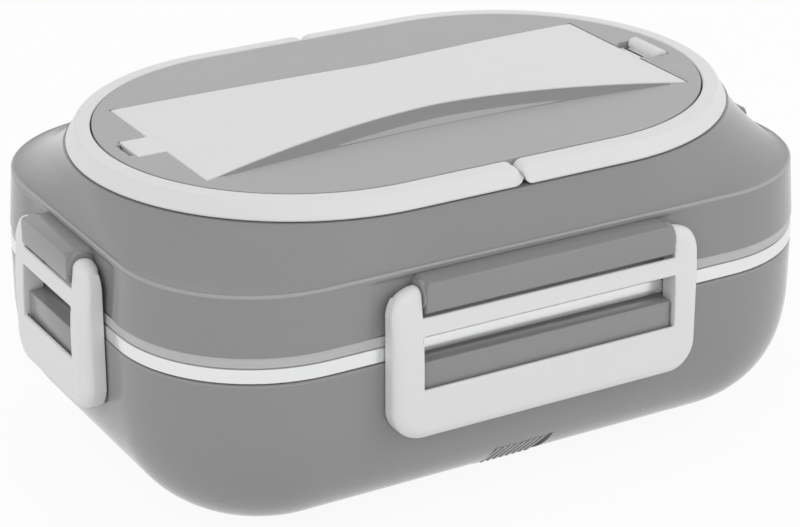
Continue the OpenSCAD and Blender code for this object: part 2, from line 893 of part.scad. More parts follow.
module lid_post_places() {
    arm = (corner_r - 8.6) / sqrt(2);
    for (sx = [-1, 1])
        for (sy = [-1, 1])
            translate([sx * (body_l / 2 - corner_r + arm), sy * (body_w / 2 - corner_r + arm), 0])
                children();
}

module trim_screw_places() {
    arm = (lid_open_r + 1.9) / sqrt(2);
    for (sx = [-1, 1])
        for (sy = [-1, 1])
            translate([sx * (ring_s + arm), sy * arm, 0])
                children();
}

module lid_shell() {
    color(dark_grey)
    difference() {
        union() {
            difference() {
                union() {
                    difference() {
                        lid_solid(0, lid_z0);
                        for (k = [0:3])
                            on_side(k)
                                lid_recess(k);
                    }
                    for (k = [0:3])
                        on_side(k)
                            hinge_block(k);
                }
                lid_solid(shell_t, lid_z0 - 1);
            }
            intersection() {
                lid_solid(shell_t / 2, lid_z0);
                lid_post_places()
                    translate([0, 0, lid_z0])
                        cylinder(r = 3, h = skirt_h + 6);
            }
        }
        track(lid_open_r, deck_z - 8, deck_z + 8);
        for (k = [0:3])
            on_side(k)
                rod_x(latch_pin_r + pin_seat, -side_win(k), side_win(k), -latch_pin_u, latch_pin_z);
        lid_post_places()
            translate([0, 0, lid_z0 - 1])
                cylinder(r = lid_screw_r + pin_seat, h = 11);
        trim_screw_places()
            translate([0, 0, deck_z - 6])
                cylinder(r = trim_screw_r + 0.2, h = 12);
    }
}

module inner_lid() {
    color(lip_grey)
    difference() {
        case_slab(panel_in, band_z1 + gap + touch, lid_z0);
        case_slab(panel_in + panel_rim, band_z1, panel_z0);
        lid_post_places()
            translate([0, 0, band_z1])
                cylinder(r = lid_screw_r + 0.2, h = 2 * lip_h);
    }
}

module lid_seal() {
    color([0.90, 0.90, 0.90])
    difference() {
        case_slab(seal_in, band_z1 + gap, panel_z0);
        case_slab(seal_in + seal_w, band_z1, lid_z0);
    }
}

module lid_screws() {
    color(steel)
    lid_post_places()
        screw_up(lid_screw_r, 2.4, panel_z0 - touch - head_h, 11);
}

module trim_screws() {
    color(steel)
    trim_screw_places()
        screw_up(trim_screw_r, 1.8, deck_z - shell_t - 0.6 - head_h, head_h + shell_t + 2.9);
}

// Cover outline in plan, grown by a clearance
module cover_plan(grow) {
    xs = [for (i = [-bay_steps:bay_steps]) i / bay_steps * cover_hl];
    low = [for (x = xs) [x + sign(x) * (abs(x) == cover_hl ? grow : 0), -waist(x) - grow]];
    high = [for (i = [len(xs) - 1:-1:0])
        [xs[i] + sign(xs[i]) * (abs(xs[i]) == cover_hl ? grow : 0), waist(xs[i]) + grow]];
    polygon(concat(low, high));
}

// One raised flank of the surround, a ridge that follows the arched cover
module flank_ridge() {
    ridge_hl = cover_hl * 0.74;
    seat = plate_z1 - cover_t - 0.2;
    rows = [
        for (i = [-bay_steps:bay_steps])
            let (x = i / bay_steps * ridge_hl, z = max(plate_z1 + 0.02, seat + rise(x)), w = waist(x))
            [[x, flank(x), plate_z0 + 1.6], [x, flank(x), plate_z1 - 0.05],
             [x, w - 0.1, z], [x, w - 2.4, z], [x, w - 2.4, plate_z0 + 1.6]]
    ];
    loft(rows);
}

module top_plate() {
    pin_y0 = plate_r - 4.2;
    color(plate_grey)
    difference() {
        union() {
            difference() {
                union() {
                    track(plate_r, plate_z0, plate_z1);
                    difference() {
                        track(plate_r, deck_z, plate_z0 + 0.5);
                        track(plate_r - plate_rim_t, deck_z - 1, plate_z0 + 1);
                    }
                }
                translate([0, 0, plate_z1 - seat_d])
                    linear_extrude(5)
                        cover_plan(0.4);
                // seat of the snap tab
                translate([tab_x - 0.4, -tab_half_w - 0.4, plate_z1 - seat_d])
                    cube([abs(tab_x) - cover_hl + 2, 2 * tab_half_w + 0.8, 5]);
                // seat of the hinge neck
                translate([cover_hl - 1, -tab_half_w - 0.4, plate_z1 - seat_d])
                    cube([5, 2 * tab_half_w + 0.8, 5]);
            }
            for (s = [0, 180])
                rotate([0, 0, s])
                    flank_ridge();
            for (s = [-1, 1])
                translate([-pivot_x - 3.5, s > 0 ? pin_y0 : -plate_r + 1, deck_z + 0.2])
                    cube([2 * pivot_x + 7, 3.2, plate_z0 - deck_z + 0.5]);
            trim_screw_places()
                translate([0, 0, deck_z])
                    cylinder(r = 1.9, h = plate_z0 - deck_z + 0.5);
        }
        // mouth of the cutlery tray
        translate([0, 0, plate_z0 - 1])
            linear_extrude(12)
                oblong(tray_hl, tray_w / 2, 6);
        // slot of the snap tongue
        translate([tab_x - 1.9, -5, plate_z0 - 1])
            cube([3.8, 10, 8]);
        // slot of the hinge barrel
        translate([cover_hl + 2, -barrel_l / 2 - 0.4, plate_z0 - 1])
            cube([hinge_x + barrel_r + 0.4 - cover_hl - 2, barrel_l + 0.8, 8]);
        rod_y(cover_pin_r + pin_seat, -barrel_l / 2 - 4.6, barrel_l / 2 + 4.6, hinge_x, hinge_z);
        for (sx = [-1, 1])
            for (sy = [-1, 1])
                rod_y(handle_pin_r + pin_seat, sy > 0 ? pin_y0 - 1 : -plate_r - 1,
                      sy > 0 ? plate_r + 1 : -pin_y0 + 1, sx * pivot_x, ring_mid_z);
        trim_screw_places()
            translate([0, 0, deck_z - 1])
                cylinder(r = trim_screw_r + pin_seat, h = 4);
    }
}

module cutlery_tray() {
    color([0.80, 0.80, 0.80])
    difference() {
        union() {
            translate([0, 0, tray_z0])
                linear_extrude(tray_d)
                    oblong(tray_hl + tray_t, tray_w / 2 + tray_t, 6 + tray_t);
            translate([0, 0, plate_z0 - 1.4])
                linear_extrude(1.4)
                    oblong(tray_hl + 4.5, tray_w / 2 + 4.5, 9);
        }
        translate([0, 0, tray_z0 + tray_t])
            linear_extrude(tray_d + 2)
                oblong(tray_hl, tray_w / 2, 6);
    }
}

module cover_pin() {
    color(steel)
    rod_y(cover_pin_r, -barrel_l / 2 - 4.4, barrel_l / 2 + 4.4, hinge_x, hinge_z);
}

module handle_pins() {
    color(steel)
    for (sx = [-1, 1])
        for (sy = [-1, 1])
            rod_y(handle_pin_r, sy > 0 ? plate_r - 4 : -ring_ri - 4.5,
                  sy > 0 ? ring_ri + 4.5 : -plate_r + 4, sx * pivot_x, ring_mid_z);
}

module latch_pin(k) {
    on_side(k)
        rod_x(latch_pin_r, -side_win(k) - 4.2, side_win(k) + 4.2, -latch_pin_u, latch_pin_z);
}

module latch_pins_long() {
    color(steel)
    for (k = [0, 1])
        latch_pin(k);
}

module latch_pins_short() {
    color(steel)
    for (k = [2, 3])
        latch_pin(k);
}

// Hinged cover of the cutlery bay
module cutlery_cover() {
    neck_x = cover_hl + 4.2;
    under = plate_z1 - cover_t;
    color(white_grey)
    difference() {
        union() {
            intersection() {
                translate([0, 0, plate_z1 - 10])
                    linear_extrude(20)
                        cover_plan(0);
                translate([0, body_w / 2, plate_z1 + arch_h - arch_r])
                    rotate([90, 0, 0])
                        difference() {
                            cylinder(r = arch_r, h = body_w, $fn = 720);
                            translate([0, 0, -1])
                                cylinder(r = arch_r - cover_t, h = body_w + 2, $fn = 720);
                        }
            }
            translate([tab_x, -tab_half_w, under])
                cube([abs(tab_x) - cover_hl + 3, 2 * tab_half_w, cover_t]);
            translate([tab_x, -4.5, plate_z1 - 3])
                cube([1.2, 9, 2.5]);
            translate([cover_hl - 3, -tab_half_w, under])
                cube([neck_x - cover_hl + 3, 2 * tab_half_w, cover_t]);
            translate([neck_x - 1.3, -tab_half_w, hinge_z - 1.8])
                cube([1.3, 2 * tab_half_w, under - hinge_z + 2]);
            translate([neck_x - 1.3, -tab_half_w, hinge_z - 1.8])
                cube([hinge_x - neck_x + 1.3, 2 * tab_half_w, 1]);
            rod_y(barrel_r, -barrel_l / 2, barrel_l / 2, hinge_x, hinge_z);
        }
        rod_y(cover_pin_r + pin_fit, -barrel_l, barrel_l, hinge_x, hinge_z);
    }
}

// Section of the handle ring, as [distance from its centre line, height]
module ring_section() {
    polygon([
        [ring_ri, ring_z0], [ring_ro, ring_z0], [ring_ro, ring_z0 + 0.6],
        [ring_ri + ring_top_w + 0.9, ring_z1 - 0.7], [ring_ri + ring_top_w, ring_z1], [ring_ri, ring_z1]
    ]);
}

module ring_run(x0, x1) {
    for (s = [-1, 1])
        scale([1, s, 1])
            translate([x0, 0, 0])
                rotate([90, 0, 90])
                    linear_extrude(x1 - x0)
                        ring_section();
}

module handle_half() {
    color(white_grey)
    difference() {
        union() {
            translate([-ring_s, 0, 0])
                rotate([0, 0, 90])
                    rotate_extrude(angle = 180, $fn = 120)
                        ring_section();
            ring_run(-ring_s, -pivot_x);
            intersection() {
                ring_run(-pivot_x - 1, 0);
                rod_y(ring_h / 2, -body_w / 2, body_w / 2, -pivot_x, ring_mid_z);
            }
        }
        rod_y(handle_pin_r + pin_fit, ring_ri - 1, ring_ri + 4.8, -pivot_x, ring_mid_z);
        rod_y(handle_pin_r + pin_fit, -ring_ri - 4.8, -ring_ri + 1, -pivot_x, ring_mid_z);
    }
}

module handle_left() {
    handle_half();
}

module handle_right() {
    rotate([0, 0, 180])
        handle_half();
}

// Plan of a latch with rounded side edges, reaching in to the middle of the case
module latch_plan(half) {
    polygon(concat(
        [[half, latch_d]],
        [for (a = [0:18:90])
            [half - latch_edge_w * (1 - cos(a)), -latch_d + latch_edge_d * (1 - sin(a))]],
        [for (a = [90:-18:0])
            [-half + latch_edge_w * (1 - cos(a)), -latch_d + latch_edge_d * (1 - sin(a))]],
        [[-half, latch_d]]
    ));
}

// Snap latch: two limbs with hinge eyes, a crossbar and a finger panel
module latch(k) {
    half = side_half(k);
    win = side_win(k);
    shoulder_pt = [latch_d, latch_pin_z - 5];
    bar_u = latch_d - 2;
    eye = [latch_pin_u, latch_pin_z];
    eye_z1 = latch_pin_z + eye_r + 0.2;
    to = shoulder_pt - eye;
    turn = atan2(to[1], to[0]) + acos(eye_r / norm(to));
    tangent = eye + (eye_r - 0.04) * [cos(turn), sin(turn)];
    bevel = [bevel_w, bevel_h] / norm([bevel_w, bevel_h]);
    face = [ledge_d, ledge_low + bevel_h] + hook_gap * [bevel[1], -bevel[0]];
    tip_u = ledge_d - hook_in;
    tip_z = face[1] - (face[0] - tip_u) * bevel_h / bevel_w;
    face_in = ledge_d + 0.4;
    root_z = face[1] + (face_in - face[0]) * bevel_h / bevel_w;
    color(white_grey)
    difference() {
        union() {
            difference() {
                intersection() {
                    side_prism(half) {
                        translate(eye)
                            circle(r = eye_r);
                        polygon(concat(
                            [[latch_back_u, latch_z0]],
                            [for (a = [0:22.5:90])
                                [latch_d - latch_edge_d * (1 - sin(a)), latch_z0 + latch_foot_h * (1 - cos(a))]],
                            [shoulder_pt, tangent, eye, [latch_back_u, latch_pin_z]]
                        ));
                    }
                    translate([0, 0, latch_z0 - 1])
                        linear_extrude(eye_z1 - latch_z0 + 2)
                            latch_plan(half);
                    rotate([90, 0, 0])
                        translate([0, 0, -4])
                            linear_extrude(latch_d + 8)
                                translate([0, (latch_z0 + eye_z1) / 2])
                                    oblong(half, (eye_z1 - latch_z0) / 2, latch_corner_r);
                }
                // between the limbs: hinge gap, window and the hollow back
                translate([-win, -latch_d - 1, bar_z1])
                    cube([2 * win, 20, 30]);
                translate([-win, -latch_d - 1, sill_z])
                    cube([2 * win, 20, bar_z0 - sill_z]);
                translate([-win, -bar_u, latch_z0 + 2])
                    cube([2 * win, 20, 60]);
                translate([-win, -face_in, latch_z0 + 2])
                    cube([2 * win, 20, 25]);
                side_prism(win)
                    polygon([
                        [bar_u - 1, bar_z1 - 1.1], [bar_u, bar_z1 - 1.1], [bar_u + 1, bar_z1 - 0.1],
                        [bar_u + 1, bar_z1 + 1], [bar_u - 1, bar_z1 + 1]
                    ]);
            }
            side_prism(win - 1.5)
                polygon([
                    [face_in + 0.4, root_z], [face_in, root_z], [tip_u, tip_z], [tip_u, tip_z - 1.2],
                    [face_in, tip_z - 2.6], [face_in + 0.4, tip_z - 2.6]
                ]);
        }
        for (s = [-1, 1])
            rod_x(latch_pin_r + pin_fit, s > 0 ? win - 1 : -win - 4.5, s > 0 ? win + 4.5 : -win + 1,
                  -latch_pin_u, latch_pin_z);
    }
}

module latch_front() {
    on_side(0)
        latch(0);
}

module latch_rear() {
    on_side(1)
        latch(1);
}

module latch_left() {
    on_side(2)
        latch(2);
}

module latch_right() {
    on_side(3)
        latch(3);
}

base_shell();
well_liner();
heating_plate();
heater_element();
heater_clamp();
insulation_pad();
thermostat();
thermal_fuse();
wiring();
power_inlet();
inlet_pins();
indicator_lens();
front_grille();
inlet_housing();
rubber_feet();
base_screws();
heat_screws();
flap_pin();
inlet_flap();
food_container();
container_divider();
lid_shell();
inner_lid();
lid_seal();
top_plate();
cutlery_tray();
trim_screws();
lid_screws();
handle_pins();
cover_pin();
latch_pins_long();
latch_pins_short();
cutlery_cover();
handle_left();
handle_right();
latch_front();
latch_rear();
latch_left();
latch_right();
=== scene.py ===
"""Looks of an electric lunch box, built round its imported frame.

Lengths are in millimetres, apart from those of the camera, the lamps and the floor, which are in metres.
"""
import json
import math

import bmesh
import bpy
import numpy as np
from mathutils import Matrix, Vector


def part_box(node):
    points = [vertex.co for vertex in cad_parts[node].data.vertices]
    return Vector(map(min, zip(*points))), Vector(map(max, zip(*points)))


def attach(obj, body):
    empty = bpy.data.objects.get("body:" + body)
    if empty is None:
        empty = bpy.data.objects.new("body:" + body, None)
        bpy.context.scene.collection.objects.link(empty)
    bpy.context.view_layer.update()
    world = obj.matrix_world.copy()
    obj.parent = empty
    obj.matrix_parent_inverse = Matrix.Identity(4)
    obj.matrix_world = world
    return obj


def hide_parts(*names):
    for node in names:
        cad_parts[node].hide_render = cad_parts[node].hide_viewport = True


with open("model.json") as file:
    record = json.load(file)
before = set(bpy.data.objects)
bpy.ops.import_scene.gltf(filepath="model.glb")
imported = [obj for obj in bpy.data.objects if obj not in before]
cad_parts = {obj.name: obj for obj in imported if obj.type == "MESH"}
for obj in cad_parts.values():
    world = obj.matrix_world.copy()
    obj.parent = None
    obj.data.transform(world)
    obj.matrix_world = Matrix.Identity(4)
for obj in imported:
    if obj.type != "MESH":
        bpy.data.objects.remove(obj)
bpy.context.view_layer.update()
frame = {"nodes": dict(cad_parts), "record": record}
MM = 0.001

# Camera at the photograph's view, in metres
CAMERA_PLACE = (-0.38082, -0.65763, 0.38024)
CAMERA_LOOK = (0.45841857, 0.79351266, -0.40023752)
SENSOR_MM = 36.0
LENS_MM = 117.62


def span(node):
    """Lowest and highest corner of a CAD node, in millimetres."""
    low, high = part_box(node)
    return low / MM, high / MM


# Sizes that come from the frame
CASE_LOW, CASE_HIGH = span("food_container")
HALF_L, HALF_W = CASE_HIGH.x, CASE_HIGH.y
PAN_Z0, BAND_Z1 = CASE_LOW.z, CASE_HIGH.z
FOOT_H = span("rubber_feet")[1].z
LID_Z0, DECK_Z = span("lid_shell")[0].z, span("lid_shell")[1].z
RING_LOW, RING_HIGH = span("handle_left")
LATCH_LOW, LATCH_LONG_HIGH = span("latch_front")
LATCH_SHORT_HIGH = span("latch_left")[1]
PIN_LOW, PIN_HIGH = span("latch_pins_long")

# Sizes shared with the construction
CORNER_R = 44.5
SHELL_T = 2.2
STEEL_T = 0.7
BAND_H = 4.8
BASE_RIM = BAND_Z1 - BAND_H
BELLY_H = 47.5
BELLY_IN = 61.4
BELLY_P = 2.67
SKIRT_H = 18.2
CREST_Z = LID_Z0 + SKIRT_H
CREST_R = 1.2
SKIRT_DRAFT = 1.4
SHOULDER_P, SHOULDER_Q = 1.6, 0.8
RECESS_D = 0.8
WALL_Y = HALF_W - RECESS_D
WALL_X = HALF_L - RECESS_D
PAN_IN = 9.5
RING_R = RING_HIGH.y
RING_S = -RING_LOW.x - RING_R
RING_GAP = 0.7
DECK_R = RING_R + RING_GAP
LID_OPEN_R = 56.0
LONG_HALF, SHORT_HALF = LATCH_LONG_HIGH.x, LATCH_SHORT_HIGH.y
LATCH_LEG = 9.2
LATCH_GAP = 0.2

# Points along each corner and each straight of an outline
ARC_STEPS = 22
RUN_STEPS = 60


def outline(hx, hy, r, z):
    """A rounded oblong as a closed row of points, anticlockwise from the right end of the front."""
    ax, ay = hx - r, hy - r
    row = []
    for q, (cx, cy) in enumerate(((ax, ay), (-ax, ay), (-ax, -ay), (ax, -ay))):
        for i in range(ARC_STEPS):
            a = math.radians(90 * (q + i / ARC_STEPS))
            row.append((cx + r * math.cos(a), cy + r * math.sin(a), z))
        turn = math.radians(90 * (q + 1))
        ex, ey = cx + r * math.cos(turn), cy + r * math.sin(turn)
        run = [1 - 2 * i / RUN_STEPS for i in range(RUN_STEPS)]
        way = 1 if q < 2 else -1
        row += [(way * t * ax, ey, z) if q % 2 == 0 else (ex, way * t * ay, z) for t in run]
    return row


def case_row(inset, z):
    """Outline of the case at height z, drawn in by that inset from its widest wall."""
    least_r = 2.0
    return outline(HALF_L - inset, HALF_W - inset, max(CORNER_R - inset, least_r), z)


def smooth(t):
    """A rise from 0 to 1 with level ends."""
    t = min(1.0, max(0.0, t))
    return t * t * (3 - 2 * t)


def belly(z, z0, h, inset, p):
    """Draw-in of a rounded lower wall at height z."""
    v = min(1.0, max(0.0, (z0 + h - z) / h))
    return inset * (1 - (1 - v**p) ** (1 / p))


def base_inset(z):
    """Draw-in of the base's wall at height z."""
    return belly(z, 0, BELLY_H, BELLY_IN, BELLY_P)


def steps(low, high, n):
    """n + 1 evenly spaced values, both ends among them."""
    return [low + (high - low) * i / n for i in range(n + 1)]


def new_piece(name, points, faces, material, body, slot, replaces=()):
    """A mesh in millimetres that rides on a body."""
    mesh = bpy.data.meshes.new(name)
    mesh.from_pydata([Vector(p) * MM for p in points], [], faces)
    bm = bmesh.new()
    bm.from_mesh(mesh)
    bmesh.ops.remove_doubles(bm, verts=bm.verts, dist=1e-6)
    bmesh.ops.recalc_face_normals(bm, faces=bm.faces)
    bm.to_mesh(mesh)
    bm.free()
    piece = bpy.data.objects.new(name, mesh)
    bpy.context.scene.collection.objects.link(piece)
    finish_piece(piece, material, body, slot, replaces)
    return piece


def finish_piece(piece, material, body, slot, replaces=()):
    """Gives a piece its material and body, and hides the nodes it stands for; its slot is not used."""
    piece.data.materials.append(material)
    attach(piece, body)
    if replaces:
        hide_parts(*replaces)


def loft_faces(rows, ring=False):
    """Faces between rows of equal length; the ends are capped, or joined in a ring."""
    n, m = len(rows[0]), len(rows)
    faces = []
    for j in range(m if ring else m - 1):
        a, b = j * n, (j + 1) % m * n
        faces += [(a + i, a + (i + 1) % n, b + (i + 1) % n, b + i) for i in range(n)]
    if not ring:
        faces += [tuple(range(n))[::-1], tuple(range((m - 1) * n, m * n))]
    return faces


def loft(name, rows, material, body, slot, replaces=(), ring=False):
    """A piece whose skin runs through rows of equal length."""
    points = [p for row in rows for p in row]
    return new_piece(name, points, loft_faces(rows, ring), material, body, slot, replaces)


def soften(piece, angle=30):
    """Smooth shading that keeps real corners sharp."""
    for polygon in piece.data.polygons:
        polygon.use_smooth = True
    piece.data.set_sharp_from_angle(angle=math.radians(angle))
    return piece


def edge_mask(a, half):
    """1 inside a band of that half width, fading to 0 outside it."""
    fade = 7.0
    return 1 - smooth((abs(a) - half) / fade)


def pressed(rows, depth):
    """Rows with a flat recess behind each latch; depth(z) is its distance inside the widest wall."""
    out = []
    for row in rows:
        new = []
        for x, y, z in row:
            rest_x, rest_y = HALF_L - depth(z), HALF_W - depth(z)
            if abs(y) > rest_y:
                y -= math.copysign(abs(y) - rest_y, y) * edge_mask(x, LONG_HALF + LATCH_GAP)
            if abs(x) > rest_x:
                x -= math.copysign(abs(x) - rest_x, x) * edge_mask(y, SHORT_HALF + LATCH_GAP)
            new.append((x, y, z))
        out.append(new)
    return out


def side_matrix(k):
    """Turns a side feature, drawn at the front wall's recess plane, to one of the four sides."""
    turn = math.radians((0, 180, -90, 90)[k])
    wall = WALL_Y if k < 2 else WALL_X
    return Matrix.Rotation(turn, 4, "Z") @ Matrix.Translation(Vector((0, -wall, 0)) * MM)


def on_sides(name, make):
    """Calls make(piece name, half width of the latch) for each side and turns its piece there."""
    for k, side in enumerate(("front", "rear", "left", "right")):
        piece = make(name + "_" + side, LONG_HALF if k < 2 else SHORT_HALF)
        piece.data.transform(side_matrix(k))


def bevelled(piece, width, angle=35):
    """Rounds the corners of a piece that are sharper than an angle; width in millimetres."""
    bm = bmesh.new()
    bm.from_mesh(piece.data)
    edges = [e for e in bm.edges
             if len(e.link_faces) == 2 and e.calc_face_angle(0) > math.radians(angle)]
    bmesh.ops.bevel(bm, geom=edges, offset=width * MM, segments=3, profile=0.5,
                    affect="EDGES", clamp_overlap=True)
    bm.to_mesh(piece.data)
    bm.free()
    return soften(piece, 60)


def prism_x(name, profile, x0, x1, *args):
    """A prism along X; its profile is drawn as (outward, up) at the front wall."""
    points = [(x, -u, z) for x in (x0, x1) for u, z in profile]
    n = len(profile)
    faces = [(i, (i + 1) % n, n + (i + 1) % n, n + i) for i in range(n)]
    faces += [tuple(range(n)), tuple(range(n, 2 * n))]
    return new_piece(name, points, faces, *args)


# Implicit surfaces, for shapes whose edges run smoothly into each other

def surface(field, low, high, cell):
    """Points, quads and normals of the level 0 of a field that is negative inside, by surface nets."""
    axes = [np.arange(a, b + cell, cell) for a, b in zip(low, high)]
    values = field(*np.meshgrid(*axes, indexing="ij"))
    inside = values < 0
    n = inside.shape
    corners = sum(inside[i:n[0] - 1 + i, j:n[1] - 1 + j, k:n[2] - 1 + k].astype(np.int8)
                  for i in (0, 1) for j in (0, 1) for k in (0, 1))
    active = (corners > 0) & (corners < 8)
    number = np.full(active.shape, -1)
    number[active] = np.arange(active.sum())
    cells = np.argwhere(active)
    points = np.stack([axes[i][cells[:, i]] + cell / 2 for i in range(3)], axis=1)

    quads = []
    for axis in range(3):
        b, c = (axis + 1) % 3, (axis + 2) % 3
        first = [slice(0, m) for m in n]
        second = list(first)
        first[axis], second[axis] = slice(0, n[axis] - 1), slice(1, n[axis])
        one, two = inside[tuple(first)], inside[tuple(second)]
        places = np.argwhere(one != two)
        places = places[(places[:, b] > 0) & (places[:, c] > 0)]
        places = places[(places[:, b] < n[b] - 1) & (places[:, c] < n[c] - 1)]
        ring = []
        for db, dc in ((-1, -1), (0, -1), (0, 0), (-1, 0)):
            at = places.copy()
            at[:, b] += db
            at[:, c] += dc
            ring.append(number[at[:, 0], at[:, 1], at[:, 2]])
        quads.append(np.stack(ring, axis=1))
    quads = np.concatenate(quads)

    def slope(p, h):
        return np.stack([(field(*(p + h * e).T) - field(*(p - h * e).T)) / (2 * h)
                         for e in np.eye(3)], axis=1)

    pull_h, normal_h, least = 0.02, 0.12, 0.05
    start = points.copy()
    for _ in range(6):
        g = slope(points, pull_h)
        points = points - (field(*points.T) / np.maximum((g * g).sum(1), least))[:, None] * g
        points = np.clip(points, start - cell, start + cell)
    normals = slope(points, normal_h)
    normals /= np.maximum(np.linalg.norm(normals, axis=1), 1e-9)[:, None]
    return points, quads, normals


def outside(a, b):
    """Distance from the corner of two fields, where both are above 0."""
    return np.hypot(np.maximum(a, 0), np.maximum(b, 0))


def round_both(a, b, r):
    """Intersection of two fields, with the edge between them rounded to radius r."""
    return np.where((a > -r) & (b > -r), outside(a + r, b + r) - r, np.maximum(a, b))


def rounded_box(a, b, ha, hb, r):
    """Plan field of a rounded oblong of half sizes ha and hb."""
    qa, qb = np.abs(a) - ha + r, np.abs(b) - hb + r
    return outside(qa, qb) + np.minimum(np.maximum(qa, qb), 0) - r


def moulded(name, field, low, high, cell, *args):
    """A piece whose surface is the level 0 of a field, with flat stretches merged."""
    points, quads, normals = surface(field, low, high, cell)
    mesh = bpy.data.meshes.new(name)
    mesh.from_pydata([Vector(p) * MM for p in points], [], quads.tolist())
    bm = bmesh.new()
    bm.from_mesh(mesh)
    bmesh.ops.recalc_face_normals(bm, faces=bm.faces)
    own = bm.verts.layers.float_vector.new("own_normal")
    bm.verts.ensure_lookup_table()
    for vert, normal in zip(bm.verts, normals):
        vert[own] = Vector(normal)
    flat = math.radians(0.35)
    bmesh.ops.dissolve_limit(bm, angle_limit=flat, verts=bm.verts, edges=bm.edges)
    kept = [tuple(v[own]) for v in bm.verts]
    bm.verts.layers.float_vector.remove(own)
    bm.to_mesh(mesh)
    bm.free()
    for polygon in mesh.polygons:
        polygon.use_smooth = True
    mesh.normals_split_custom_set_from_vertices(kept)
    piece = bpy.data.objects.new(name, mesh)
    bpy.context.scene.collection.objects.link(piece)
    finish_piece(piece, *args)
    return piece


# Materials

def node_tree(name):
    """A new material with its node tree and its shader."""
    material = bpy.data.materials.new(name)
    material.use_nodes = True
    tree = material.node_tree
    return material, tree, tree.nodes["Principled BSDF"]


def noise(tree, scale, detail=4.0):
    """A noise texture in object space; scale is in cycles a metre."""
    coords = tree.nodes.new("ShaderNodeTexCoord")
    texture = tree.nodes.new("ShaderNodeTexNoise")
    texture.inputs["Scale"].default_value = scale
    texture.inputs["Detail"].default_value = detail
    tree.links.new(coords.outputs["Object"], texture.inputs["Vector"])
    return texture


def ranged(tree, source, low, high, out_low, out_high):
    """The source's range from low to high, brought to another range."""
    node = tree.nodes.new("ShaderNodeMapRange")
    node.inputs["From Min"].default_value = low
    node.inputs["From Max"].default_value = high
    node.inputs["To Min"].default_value = out_low
    node.inputs["To Max"].default_value = out_high
    tree.links.new(source, node.inputs["Value"])
    return node.outputs["Result"]


def grey(level):
    """Linear value of a display grey from 0 to 255."""
    s = level / 255
    return s / 12.92 if s <= 0.04045 else ((s + 0.055) / 1.055) ** 2.4


def mixed_colour(tree, shader, factor, low, high):
    """Base colour that varies between two colours."""
    mix = tree.nodes.new("ShaderNodeMix")
    mix.data_type = "RGBA"
    mix.inputs["A"].default_value = low + [1]
    mix.inputs["B"].default_value = high + [1]
    tree.links.new(factor, mix.inputs["Factor"])
    tree.links.new(mix.outputs["Result"], shader.inputs["Base Color"])


def uneven_gloss(tree, shader, factor, rough, vary):
    """Roughness that varies by a share to either side."""
    spread = ranged(tree, factor, 0.3, 0.7, rough * (1 - vary), rough * (1 + vary))
    tree.links.new(spread, shader.inputs["Roughness"])


def plastic(name, level, rough, grain=900.0, grain_depth=0.000004, tint=(1.0, 1.0, 1.0)):
    """Moulded plastic: faint mottling, uneven gloss and a fine grain, its depth in metres."""
    clouds, gloss_spots, vary = 45.0, 120.0, 0.012
    material, tree, shader = node_tree(name)
    base = grey(level)
    mixed_colour(tree, shader, noise(tree, clouds).outputs["Fac"],
                 [base * (1 - vary) * t for t in tint], [base * (1 + vary) * t for t in tint])
    uneven_gloss(tree, shader, noise(tree, gloss_spots).outputs["Fac"], rough, 0.06)
    bump = tree.nodes.new("ShaderNodeBump")
    bump.inputs["Strength"].default_value = 0.35
    bump.inputs["Distance"].default_value = grain_depth
    tree.links.new(noise(tree, grain, 2.0).outputs["Fac"], bump.inputs["Height"])
    tree.links.new(bump.outputs["Normal"], shader.inputs["Normal"])
    return material


def metal(name, colour, rough, brush=0.0):
    """Sheet or turned metal with faint streaks, drawn out along Z by brush."""
    streak_scale, darker = 60.0, 0.98
    material, tree, shader = node_tree(name)
    shader.inputs["Metallic"].default_value = 1.0
    streaks = noise(tree, streak_scale, 6.0)
    if brush:
        mapping = tree.nodes.new("ShaderNodeMapping")
        mapping.inputs["Scale"].default_value = (1.0, 1.0, brush)
        source = streaks.inputs["Vector"].links[0].from_socket
        tree.links.new(source, mapping.inputs["Vector"])
        tree.links.new(mapping.outputs["Vector"], streaks.inputs["Vector"])
    mixed_colour(tree, shader, streaks.outputs["Fac"], [c * darker for c in colour], list(colour))
    uneven_gloss(tree, shader, streaks.outputs["Fac"], rough, 0.08)
    return material


# Grey levels are display levels from 0 to 255
CASE = plastic("case_plastic", 140, 0.15)
# Lighter copy of the case plastic: painted highlight along the crest and the base rim
CASE_HIGHLIGHT = plastic("case_plastic_painted_highlight", 162, 0.15)
PLATE = plastic("plate_plastic", 166, 0.38)
# Darker copy of the plate plastic: painted shade and painted reflection on the surround's flank
PLATE_PAINTED_SHADE = plastic("plate_plastic_painted_shade", 136, 0.34)
PALE = plastic("pale_plastic", 224, 0.36)
LIP = plastic("lip_plastic", 186, 0.40)
TRAY = plastic("tray_plastic", 205, 0.40)
LINER = plastic("liner_plastic", 212, 0.50)
GRILLE = plastic("grille_plastic", 172, 0.45)
BLACK = plastic("black_plastic", 40, 0.45)
FLAP = plastic("flap_rubber", 58, 0.60, grain=2600.0, grain_depth=0.00004)
FOOT = plastic("foot_rubber", 52, 0.65, grain=2600.0, grain_depth=0.00004)
SEAL = plastic("seal_silicone", 226, 0.50)
WIRE = plastic("wire_sleeve", 150, 0.45, tint=(1.6, 0.35, 0.28))
CERAMIC = plastic("heater_ceramic", 215, 0.60, tint=(1.0, 0.97, 0.88))
FUSE = plastic("fuse_ceramic", 235, 0.30)
FELT = plastic("insulation_felt", 232, 0.95, grain_depth=0.0004, tint=(1.0, 0.98, 0.91))
LENS = plastic("lens_plastic", 170, 0.12, tint=(1.7, 0.12, 0.08))
STEEL = metal("container_steel", (0.81, 0.815, 0.82), 0.26, brush=12.0)
DIVIDER = metal("divider_steel", (0.84, 0.85, 0.86), 0.16, brush=12.0)
SCREW = metal("fastener_steel", (0.70, 0.70, 0.71), 0.28)
CLAMP = metal("clamp_steel", (0.62, 0.63, 0.64), 0.35)
ALUMINIUM = metal("heat_plate_metal", (0.78, 0.79, 0.80), 0.38, brush=30.0)
